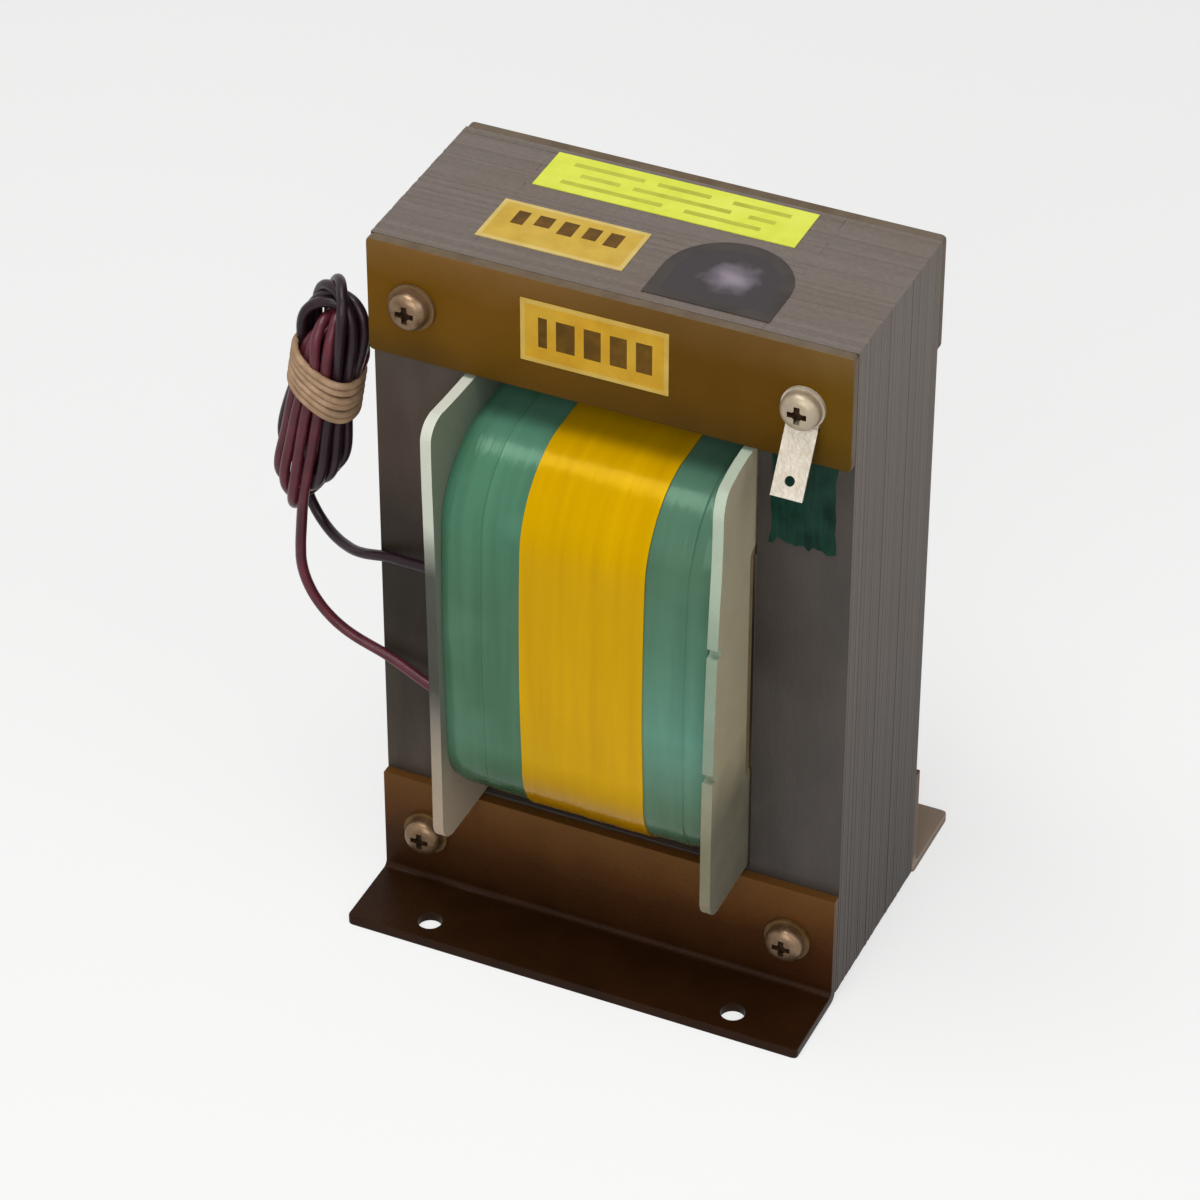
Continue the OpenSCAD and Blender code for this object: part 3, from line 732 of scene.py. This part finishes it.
# the film's own colour shows in its sheen
for tape, sheen in ((greenTape, "#C4F0D2"), (paleTape, "#C4F0D2"), (yellowTape, "#FFD822")):
    setInputs(tape.node_tree, tape.node_tree.nodes["Principled BSDF"], {"Specular Tint": colour(sheen)})
lapCuts = [lap + side * coil["lapEdge"] for lap in coil["laps"] for side in (-1, 1)]
wrap = makeTapeRing("greenWrap", -coil["halfLength"], coil["halfLength"], 0, coil["wrap"],
                    sorted(coil["wrapCuts"] + lapCuts), True)
dress(wrap, ["green_wrap"], [greenTape, paleTape], lambda face: int(face.center.x > 0))
band = makeTapeRing("yellowRing", coil["bandLeft"], coil["bandRight"], coil["band"] + coil["lapStep"],
                    coil["band"], coil["bandCuts"], False)
# loose end of the tape, stuck down at the back
tailOut = coil["halfDepth"] + coil["band"] + coil["lapStep"] + coil["tail"]
tail = addBlock("tapeTail", (coil["bandLeft"] + coil["tailLeft"], coil["halfDepth"] + coil["tailIn"], coil["tailLow"]),
                (coil["bandRight"] - coil["tailRight"], tailOut, coil["tailHigh"]))
sliceAt(tail, 0, coil["tailCuts"])
sliceAt(tail, 2, coil["tailCutsHigh"])
followWinding(tail, False)
dress(join("yellowBand", [band, tail]), ["yellow_band"], [yellowTape])
print("coil taped")


# end flanges of the coil former

flange = {"thick": 2.5, "outer": 32.5, "halfDepth": 43.5, "low": 30, "high": 141, "corner": 5,
          "openDepth": 24.4, "openLow": 55.6, "openHigh": 115.4, "openCorner": 2, "edgeBreak": 0.3, "facing": 0.8,
          "notches": (69, 102), "notchWidth": 2.4, "notchDepth": 2, "leadHoles": (57, 90), "holeY": -27, "hole": 3,
          "cutsDeep": (25, 28, 31, 34, 37, 40), "cutsHigh": range(36, 140, 8)}  # cuts that let the board bend


def makeFlange(name, node, side):
    x = between(side, flange["outer"] - flange["thick"], flange["outer"])
    plate = addBlock(name, (x[0], -flange["halfDepth"], flange["low"]), (x[1], flange["halfDepth"], flange["high"]))
    roundAlong(plate, 0, flange["corner"], segments=8)
    opening = addBlock("opening", (x[0] - over, -flange["openDepth"], flange["openLow"]),
                       (x[1] + over, flange["openDepth"], flange["openHigh"]))
    roundAlong(opening, 0, flange["openCorner"], segments=5)
    cut(plate, opening)
    if side > 0:
        half = flange["notchWidth"] / 2
        for z in flange["notches"]:
            cut(plate, addBlock("notch", (x[0] - over, -flange["halfDepth"] - over, z - half),
                                (x[1] + over, flange["notchDepth"] - flange["halfDepth"], z + half)))
    else:
        for z in flange["leadHoles"]:
            cut(plate, addRod("hole", (x[0], flange["holeY"], z), flange["hole"], drill, "X", sides=20))
    sliceAt(plate, 1, [y * d for y in (-1, 1) for d in flange["cutsDeep"]])
    sliceAt(plate, 2, flange["cutsHigh"])
    for vertex in plate.data.vertices:
        vertex.co.x += splayAt(vertex.co / mm, side) * mm
    breakEdges(plate, flange["edgeBreak"])

    # outer face, inner face, then the sawn edge at the front and at the back
    def surface(face):
        out = face.normal.x * side
        return 1 if out > flange["facing"] else 2 if out < -flange["facing"] else 0 if face.center.y < 0 else 3

    frontEdge = leftEdge if side < 0 else rightEdge
    return dress(plate, [node], [frontEdge, boardFace, shadedBoardInside, rightEdge], surface)


# pressboard, calendered and sawn: pale fibrous edges, faces browned by varnish
sawn = {"grain": 0.5, "bump": 0.25, "roughness": 0.75, "specular": 0.12}
rolled = {"grain": 0.7, "bump": 0.15, "specular": 0.12}
leftEdge = mottled("pressboard, sawn edge", ("#C4C8B8", "#B0B6A6", "#A6A696"), 3, 16, **sawn)
rightEdge = mottled("pressboard, sawn edge on the right", ("#B6C2AE", "#A4B09C", "#98A28E"), 3, 16, **sawn)
boardFace = mottled("pressboard, varnished face", ("#AEA68A", "#A0967A", "#938A76"), 8, 26, roughness=0.6, **rolled)
# the inner face, dim green grey: painted shade beside the coil
shadedBoardInside = mottled("pressboard, inner face, painted shade", ("#74806F", "#66705F", "#7C8272"), 8, 26, roughness=0.65, **rolled)
# the edges darker in the middle and towards the lower ends, and the outer face darker towards its lower end
toneByHeight(leftEdge, [(34, "#A8937F"), (54, "#9C8F7E"), (64, "#79726A"), (72, "#3E3D37"),
                        (101, "#44453E"), (108, "#8C9084"), (115, "#C8CCBC"), (141, "#D0D3C5")], uneven=6, share=0.95)
toneByHeight(rightEdge, [(34, "#6E6048"), (50, "#70644C"), (62, "#8A826A"), (74, "#7C907E"), (100, "#849884"),
                         (120, "#AEBEAA"), (141, "#B4C0AE")], uneven=8, share=0.8)
# the painted shade on the inner face lifts towards its lower end, below the coil
toneByHeight(shadedBoardInside, [(34, "#AC9884"), (46, "#A08E7C"), (58, "#666A5E"), (141, "#707B6B")], uneven=6, share=0.8)
toneByHeight(boardFace, [(34, "#4A4844"), (54, "#524E46"), (70, "#AEA486"), (141, "#B8AE94")], uneven=8, share=0.7)
makeFlange("leftFlange", "left_flange", -1)
makeFlange("rightFlange", "right_flange", 1)
print("flanges cut")


# brown clamps: angle brackets with feet below, flat strips above

clamp = {"halfWidth": 54, "face": 22.5, "thick": 2.5, "edgeBreak": 0.35, "corner": 1, "hole": 5.5,
         "bracketHigh": 29, "footOut": 44.5, "bend": 1.5, "footHoleX": 36.5, "footHoleY": 38.5, "footHole": 5.5,
         "stripLow": 142, "stripHigh": 169.5, "facing": 0.5}


# upright plate against the core, in front (side -1) or behind
def clampPlate(name, side, low, high):
    y = between(side, clamp["face"], clamp["face"] + clamp["thick"])
    return addBlock(name, (-clamp["halfWidth"], y[0], low), (clamp["halfWidth"], y[1], high))


def makeBracket(name, node, side, varnish):
    near, far = clamp["face"], clamp["face"] + clamp["thick"]
    plate = clampPlate(name, side, 0, clamp["bracketHigh"])
    sliceAt(plate, 2, [clamp["thick"]])
    edit(plate)
    choose(plate, "FACE", lambda face: face.normal.y * side > facing
           and face.calc_center_median().z < clamp["thick"] * mm)
    extrude(0, side * (clamp["footOut"] - far), 0)
    # inside and outside of the bend, then the corners of the foot
    for corner, radius in (((far, clamp["thick"]), clamp["bend"]), ((near, 0), clamp["bend"] + clamp["thick"])):
        choose(plate, "EDGE", lambda edge: runsAlong(edge, 0)
               and math.dist((side * middleOf(edge).y, middleOf(edge).z), corner) < slack)
        roundEdges(radius, segments=6)
    choose(plate, "EDGE", lambda edge: runsAlong(edge, 2) and abs(middleOf(edge).y) > clamp["footOut"] - slack)
    roundEdges(clamp["corner"], segments=3)
    endEdit()
    for x in (-1, 1):
        cut(plate, addRod("hole", (x * bolts["x"], side * near, bolts["low"]), clamp["hole"], drill, "Y"),
            addRod("hole", (x * clamp["footHoleX"], side * clamp["footHoleY"], 0), clamp["footHole"], drill, "Z"))
    breakEdges(plate, clamp["edgeBreak"])
    return dress(plate, [node], [varnish])


def makeStrip(name, node, side):
    plate = clampPlate(name, side, clamp["stripLow"], clamp["stripHigh"])
    roundAlong(plate, 1, clamp["corner"], segments=3)
    for x in (-1, 1):
        cut(plate, addRod("hole", (x * bolts["x"], side * clamp["face"], bolts["high"]), clamp["hole"], drill, "Y"))
    breakEdges(plate, clamp["edgeBreak"])
    return dress(plate, [node], [stripVarnish, stripEdge],
                 lambda face: int(abs(face.normal.y) < clamp["facing"]))


# sheet steel brushed with brown varnish: satin, mustard where thin, almost black brown where it ran and pooled
brushed = {"grain": 0.9, "bump": 0.12}
stripVarnish = mottled("steel under thin brown varnish", ("#724B08", "#644206", "#5A3C0E"), 12, 34,
                       roughness=0.4, specular=0.05, **brushed)
# the same varnish on the sheared edges, thinned to grey
stripEdge = mottled("sheared steel edge under varnish", ("#6A5A46", "#5C4C3A", "#6E6254"), 4, 20, grain=0.6, bump=0.15,
                    roughness=0.5, specular=0.15)
footVarnish = mottled("steel under thick brown varnish", ("#3E2410", "#2C1908", "#42210F"), 12, 34,
                      roughness=0.38, specular=0.08, **brushed)
# the rear bracket is painted lighter than the front one: a painted reflection of the light from behind
rearGlareVarnish = mottled("steel under brown varnish, painted reflection", ("#6A5442", "#5C4836", "#726252"), 12, 34,
                      roughness=0.4, specular=0.12, **brushed)
# darker towards the foot, lighter towards the top of the upright
toneByHeight(footVarnish, [(0, "#1E0E04"), (3, "#241205"), (6, "#341C0C"), (14, "#42260F"), (22, "#603C18"),
                           (29, "#6C4820")], uneven=7, share=0.75)
# painted reflection of the light from behind, along the top of the rear foot
toneByHeight(rearGlareVarnish, [(0, "#7E6A59"), (1.6, "#846F5D"), (2.2, "#B09B89"), (3, "#A08B79"), (6, "#5A4432"),
                           (29, "#664C34")], uneven=0.5, share=0.8)
# on the strips it is darker below and to the right
toneByHeight(stripVarnish, [(142, "#4C3810"), (150, "#66460A"), (160, "#6A480B"), (169.5, "#7C5C34")],
             uneven=7, share=0.7)
toneByHeight(stripVarnish, [(-54, "#FFFFFF"), (-18, "#FFFFFF"), (16, "#E2E2D8"), (38, "#E2E2D8"), (48, "#F0FAFF"),
                            (54, "#F0FAFF")], uneven=8, blend="MULTIPLY", axis=0)
makeBracket("frontBracket", "front_bracket", -1, footVarnish)
makeBracket("rearBracket", "rear_bracket", 1, rearGlareVarnish)
makeStrip("frontStrip", "front_top_clamp", -1)
makeStrip("rearStrip", "rear_top_clamp", 1)
print("clamps made")


# through screws with domed heads, and their washers

screw = {"seat": -26, "earthSeat": -25.8,  # the earth screw stands on its tag, the others on washers
         "head": 8.8, "headHigh": 3.2, "dome": 2.2, "edgeBreak": 0.12,
         "cross": 4.2, "crossWidth": 1.3, "pit": 2.3, "crossDeep": 1.6, "recessShade": (0.35, 1.8),  # depths that stay dark
         "shank": 5, "shankTo": 33.2, "threads": 14, "pitch": 0.8, "root": 0.84,  # share of the shank left in a thread
         "washer": 10.6, "washerThick": 1, "washerHole": 5.5, "washerBreak": 0.15}
screwPlaces = [(-bolts["x"], screw["seat"], bolts["low"]), (bolts["x"], screw["seat"], bolts["low"]),
               (-bolts["x"], screw["seat"], bolts["high"]), (bolts["x"], screw["earthSeat"], bolts["high"])]


# one screw with its head's seat at y = 0 and its tip towards +y
def makeScrew():
    head = addRod("head", (0, -screw["headHigh"] / 2, 0), screw["head"], screw["headHigh"], "Y", sides=48)
    edit(head)
    choose(head, "EDGE", lambda edge: all(v.co.y / mm < slack - screw["headHigh"] for v in edge.verts))
    roundEdges(screw["dome"], segments=6)
    endEdit()
    # cross recess, from above the head down
    half, wide = screw["cross"] / 2, screw["crossWidth"] / 2
    top, deep = -screw["headHigh"] - over, screw["crossDeep"] - screw["headHigh"]
    cut(head, addBlock("slot", (-half, top, -wide), (half, deep, wide)),
        addBlock("slot", (-wide, top, -half), (wide, deep, half)),
        addRod("pit", (0, (top + deep) / 2, 0), screw["pit"], deep - top, "Y", sides=20))
    breakEdges(head, screw["edgeBreak"])
    length = screw["shankTo"] - screw["seat"]
    plain = length - screw["threads"] * screw["pitch"]
    shank = addRod("shank", (0, plain / 2, 0), screw["shank"], plain, "Y", sides=24)
    edit(shank)
    choose(shank, "FACE", lambda face: face.normal.y > facing)
    for turn in range(2 * screw["threads"]):
        extrude(0, screw["pitch"] / 2, 0)
        size = screw["root"] if turn % 2 == 0 else 1 / screw["root"]
        bpy.ops.transform.resize(value=(size, 1, size), center_override=(0, 0, 0))
    endEdit()
    return join("screw", [head, shank])


def makeScrews():
    return dress(join("screws", copyTo(makeScrew(), screwPlaces)), ["core_screws"],
                 [platedHead, recessShade, bareHead, zinc], finishOf)


# which finish a face of a screw has: plain zinc towards the tip, bare on the earth screw's head
def finishOf(face):
    if face.center.y > 0:
        return 3
    return 1 if recessed(face) else 2 if face.center.x > 0 and face.center.z > coil["middle"] * mm else 0


# inside of the cross recess, painted dark for the shade in it
def recessed(face):
    low, high = screw["recessShade"]
    for x, y, z in screwPlaces:
        across = math.dist((face.center.x / mm, face.center.z / mm), (x, z))
        depth = face.center.y / mm - y + screw["headHigh"]
        if across < screw["cross"] / 2 and low < depth < high:
            return True
    return False


def makeWashers():
    washer = addRod("washer", (0, screw["washerThick"] / 2, 0), screw["washer"], screw["washerThick"], "Y", sides=48)
    cut(washer, addRod("hole", (0, 0, 0), screw["washerHole"], drill, "Y"))
    breakEdges(washer, screw["washerBreak"])
    return dress(join("frontWashers", copyTo(washer, screwPlaces[:3])), ["front_washers"],
                 [washerVarnish])


# zinc plated steel that has had a coat of thin brown varnish with the clamps: a warm, dulled shine
plated = {"grain": 0.5, "bump": 0.1}
platedHead = mottled("varnished zinc plated steel", ("#826B52", "#694F37", "#927B64"), 2.5, 8,
                     roughness=0.36, metallic=0.75, specular=0.5, **plated)
washerVarnish = mottled("zinc plated steel under brown varnish", ("#6E5430", "#5A4222", "#7C6648"), 2.5, 8,
                        roughness=0.42, metallic=0.4, **plated)
# the earth screw was left bare, and is paler
bareHead = mottled("bare zinc plated steel", ("#AA9A82", "#968672", "#B6AA94"), 2.5, 8,
                   roughness=0.4, metallic=0.4, specular=0.5, **plated)
# painted shade for the inside of the cross recess
recessShade = mottled("painted shade in the recess", ("#382819", "#443020", "#2C1F14"), 1, 4, grain=0.4, bump=0.1,
                roughness=0.6, specular=0.1)
zinc = mottled("zinc plated steel", ("#A09A90", "#8A8378", "#948A7E"), 2.5, 8,
               roughness=0.4, metallic=0.8, specular=0.5, **plated)
makeScrews()
makeWashers()
print("screws set")


# earth tag: an eye under the upper right screw and a blade that leans out

tag = {"back": -25, "thick": 0.8, "eye": 9.6, "hole": 5.5, "blade": 7, "length": 15,
       "lean": 30, "bend": 1, "bendSteps": 5, "wireHole": 2.2, "wireHoleUp": 4.5, "edgeBreak": 0.15}


def makeTag():
    x, z = bolts["x"], bolts["high"]
    front, bendZ = tag["back"] - tag["thick"], z - tag["eye"] / 2
    lean = math.radians(tag["lean"])
    way = Vector((0, -math.sin(lean), -math.cos(lean)))
    strip = addBlock("strip", (x - tag["blade"] / 2, front, bendZ), (x + tag["blade"] / 2, tag["back"], z))
    edit(strip)
    choose(strip, "FACE", lambda face: face.normal.z < -facing)
    # bend outwards round a line in front of the tag, then the straight blade
    bpy.ops.mesh.spin(steps=tag["bendSteps"], angle=lean, axis=(-1, 0, 0),
                      center=(x * mm, (front - tag["bend"]) * mm, bendZ * mm))
    extrude(*way * tag["length"])
    endEdit()
    eye = addRod("eye", (x, (front + tag["back"]) / 2, z), tag["eye"], tag["thick"], "Y", sides=48)
    finishWith(strip, "BOOLEAN", operation="UNION", solver="EXACT", object=eye)
    bpy.data.objects.remove(eye)
    cut(strip, addRod("hole", (x, front, z), tag["hole"], drill, "Y"))
    # small hole for a wire, square to the blade
    middle = tag["bend"] + tag["thick"] / 2
    centre = Vector((x, front - tag["bend"] + middle * math.cos(lean), bendZ - middle * math.sin(lean)))
    centre += way * (tag["length"] - tag["wireHoleUp"])
    cut(strip, addRod("wireHole", centre, tag["wireHole"], drill, (math.pi / 2 - lean, 0, 0), sides=24))
    breakEdges(strip, tag["edgeBreak"])
    strip.name = "earthTag"
    return dress(strip, ["earth_tag"], [tinned])


# brass strip, hot tinned: bright, slightly uneven
tinned = mottled("tinned brass", ("#C8C0B2", "#B6AB9A", "#BEB29E"), 2.5, 9, grain=0.8, bump=0.12,
                 roughness=0.34, metallic=0.35, specular=0.5)
makeTag()
print("earth tag bent")


# paper labels, with plain blocks and bars of ink

labels = {
    "rating": {"low": (-31.5, 7.5, 169.5), "high": (27.5, 21, 169.7), "edge": 0.5,
               "bars": [(5, 21, 9.6, 11), (24, 36, 9.6, 11), (41, 54, 9.6, 11), (8, 17, 6, 7.4), (20, 42, 6, 7.4),
                        (46, 52, 6, 7.4), (5, 28, 2.5, 3.9), (33, 50, 2.5, 3.9)]},
    "top": {"low": (-34, -15, 169.5), "high": (-1, 0, 169.7), "edge": 1,
            "bars": [(4.6, 7.4, 7, 12), (9.4, 13, 8, 12), (15, 18.4, 7, 12), (20.4, 23.6, 7.6, 12),
                     (25.4, 28.6, 7, 12)]},
    "front": {"low": (-19, -25.2, 149.5), "high": (14, -25, 164.5), "edge": 1,
              "bars": [(4, 6, 4, 11.2), (8, 12.2, 4, 11.2), (14.2, 18, 4, 11.2), (20, 23.8, 4, 11.2),
                       (25.8, 29.4, 4, 11.2)]},
}


# one label with its face on top or in front; the bars are given from its low corner
def makeLabel(name, node, materials):
    facts = labels[name]
    low, high, edge = facts["low"], facts["high"], facts["edge"]
    up = 1 if high[2] - low[2] < 1 else 2  # axis of the label's height
    wide, tall = high[0] - low[0], high[up] - low[up]
    plate = addBlock(name + "Label", low, high)
    cuts = [edge, wide - edge] + [c for bar in facts["bars"] for c in bar[:2]]
    sliceAt(plate, 0, [low[0] + c for c in sorted(set(cuts))])
    cuts = [edge, tall - edge] + [c for bar in facts["bars"] for c in bar[2:]]
    sliceAt(plate, up, [low[up] + c for c in sorted(set(cuts))])

    def printed(face):
        across, rise = face.center.x / mm - low[0], face.center[up] / mm - low[up]
        if any(bar[0] < across < bar[1] and bar[2] < rise < bar[3] for bar in facts["bars"]):
            return 1
        return 0 if edge < across < wide - edge and edge < rise < tall - edge else 2

    return dress(plate, [node], materials, printed)


# coated paper: clear colour, a weak sheen, ink a little uneven
coated = {"grain": 0.6, "bump": 0.04, "roughness": 0.45, "specular": 0.15}
ink = {"grain": 0.6, "bump": 0.04, "roughness": 0.5, "specular": 0.15}
uncoated = {"grain": 0.6, "bump": 0.05, "roughness": 0.55, "specular": 0.15}
limePaper = mottled("lime coated paper", ("#E0E654", "#D8DE4A", "#E4EA62"), 4, 14, **coated)
limeInk = mottled("olive ink", ("#BCC044", "#AEB23C", "#C6CA4C"), 3, 10, **ink)
amberPaper = mottled("amber coated paper", ("#CC9C24", "#BF901E", "#C8A236"), 4, 12, **coated)
palePaper = mottled("faded amber coated paper", ("#D0AC46", "#C4A03C", "#CEB056"), 4, 12, **coated)
amberInk = mottled("dark brown ink", ("#5A3E06", "#6A4A0C", "#4C3404"), 2, 7, **ink)
creamEdge = mottled("bare cream paper edge", ("#CBAA52", "#C09E48", "#C9AC5C"), 4, 12, **uncoated)
paleEdge = mottled("bare pale paper edge", ("#D8BE70", "#CDB266", "#D8C27C"), 4, 12, **uncoated)
makeLabel("rating", "rating_label", [limePaper, limeInk, limePaper])
makeLabel("top", "top_label", [palePaper, amberInk, paleEdge])
makeLabel("front", "front_label", [amberPaper, amberInk, creamEdge])

arch = {"x": 19.5, "straight": -20, "round": 4.5, "radius": 14, "low": 169.5, "high": 169.7, "border": 2.8,
        "sheenAt": (20.5, -8.5), "sheen": 6.4, "cloud": 5, "uneven": 7,  # middle and reach of the paler field
        "tones": ("#8F8491", "#2E2528"), "roughness": (0.18, 0.34)}


# half-round film label: straight towards the front, round towards the back
def makeArch():
    middle = arch["round"] - arch["radius"]
    plate = addRod("archLabel", (arch["x"], middle, (arch["low"] + arch["high"]) / 2), 2 * arch["radius"],
                   arch["high"] - arch["low"], "Z", sides=64)
    edit(plate)
    bpy.ops.mesh.select_all(action="SELECT")
    bpy.ops.mesh.bisect(plane_co=(0, middle * mm, 0), plane_no=(0, -1, 0), clear_outer=True, use_fill=True)
    choose(plate, "FACE", lambda face: face.normal.y < -facing)
    extrude(0, arch["straight"] - middle, 0)
    # one whole face on top, so that its border has an even width
    choose(plate, "FACE", lambda face: face.normal.z > facing)
    bpy.ops.mesh.dissolve_limited(angle_limit=math.radians(1))
    choose(plate, "FACE", lambda face: face.normal.z > facing)
    bpy.ops.mesh.inset(thickness=arch["border"] * mm, depth=0)
    marked = bmesh.from_edit_mesh(plate.data)
    inner = [face.index for face in marked.faces if face.select]
    endEdit()
    return dress(plate, ["half_round_label"], [blackFilm, sheenFilm],
                 lambda face: int(face.index in inner))


# polyester film, printed on its back: deep gloss
blackFilm = mottled("black printed film", ("#3A322E", "#2E2825", "#443A35"), 5, 12, grain=0.8, bump=0.02,
                    roughness=0.25, specular=0.2)


# painted sheen: the inner field fades from lilac grey in the middle to near black
def makeSheenFilm():
    material, tree, shader, place = startMaterial("black printed film, painted lilac sheen", roughness=0.25, specular=0.25)
    middle = [c * mm for c in (*arch["sheenAt"], arch["high"])]
    wave = arch["uneven"]
    away = addNode(tree, "VectorMath", {0: place, 1: middle}, operation="DISTANCE")
    uneven = addNode(tree, "TexNoise", {"Vector": place, "Scale": 1 / (arch["cloud"] * mm), "Detail": 3})
    away = addNode(tree, "Math", {0: uneven.outputs[0], 1: wave * mm, 2: away.outputs[1]}, operation="MULTIPLY_ADD")
    share = addNode(tree, "MapRange", {0: away.outputs[0], 1: wave / 2 * mm, 2: (arch["sheen"] + wave / 2) * mm})
    light, dark = [colour(tone) for tone in arch["tones"]]
    tone = addNode(tree, "Mix", {0: share.outputs[0], 6: light, 7: dark}, data_type="RGBA")
    low, high = arch["roughness"]
    gloss = addNode(tree, "MapRange", {0: uneven.outputs[0], 3: low, 4: high})
    setInputs(tree, shader, {"Base Color": tone.outputs[2], "Roughness": gloss.outputs[0]})
    return material


sheenFilm = makeSheenFilm()
makeArch()

patch = {"low": (35.5, -22.7, 117.4), "high": (50.5, -22.5, 140.5), "ragged": 0.8, "brushEnd": 2.4, "seed": 3,
         "columns": range(1, 15), "rows": range(4, 20, 3)}  # cuts, from its low corner


# brushed patch of green paint with ragged lower ends
def makePatch():
    plate = addBlock("earthPatch", patch["low"], patch["high"])
    left, right, bottom = patch["low"][0], patch["high"][0], patch["low"][2]
    sliceAt(plate, 0, [left + c for c in patch["columns"]])
    sliceAt(plate, 2, [bottom + c for c in patch["rows"]])
    dice = random.Random(patch["seed"])
    ends = {}
    for vertex in plate.data.vertices:
        x, y, z = vertex.co / mm
        key = (round(x, 1), round(z, 1))
        if z < bottom + slack:
            ends.setdefault(key, dice.uniform(0, patch["brushEnd"]))
            vertex.co.z += ends[key] * mm
        elif x < left + slack or x > right - slack:
            ends.setdefault(key, dice.uniform(0, patch["ragged"]) * (1 if x < (left + right) / 2 else -1))
            vertex.co.x += ends[key] * mm
    return dress(plate, ["earth_label"], [greenPaint])


# enamel, brushed on by hand: dark, streaky, half gloss
greenPaint = mottled("dark green enamel", ("#0C3428", "#06221B", "#1C3E33"), 1.5, 7, grain=0.9, bump=0.2,
                     roughness=0.4, specular=0.1, stretch=(1, 1, 0.12))
makePatch()
print("labels stuck on")


# CAD nodes that keep their own shape, most of them hidden inside

# kraft paper soaked in varnish: dull, tan
paper = mottled("varnished kraft paper", ("#7A6A4C", "#6C5C40", "#847456"), 4, 18, grain=0.6, bump=0.1, roughness=0.6)
# copper wire under enamel: fine turns side by side, with a reddish shine
copper = mottled("enamelled copper wire", ("#9A4A26", "#84401F", "#A8582E"), 1.2, 8, grain=0.9, bump=0.4,
                 roughness=0.35, metallic=0.7, specular=0.5, stretch=alongWrap)
for node, material in (("coil_former", paper), ("winding_insulation", paper), ("screw_sleeves", paper),
                       ("primary_winding", copper), ("secondary_winding", copper),
                       ("rear_washers", zinc), ("lock_washers", zinc), ("hex_nuts", zinc)):
    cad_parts[node].data.materials.clear()
    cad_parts[node].data.materials.append(material)
print("CAD nodes finished")
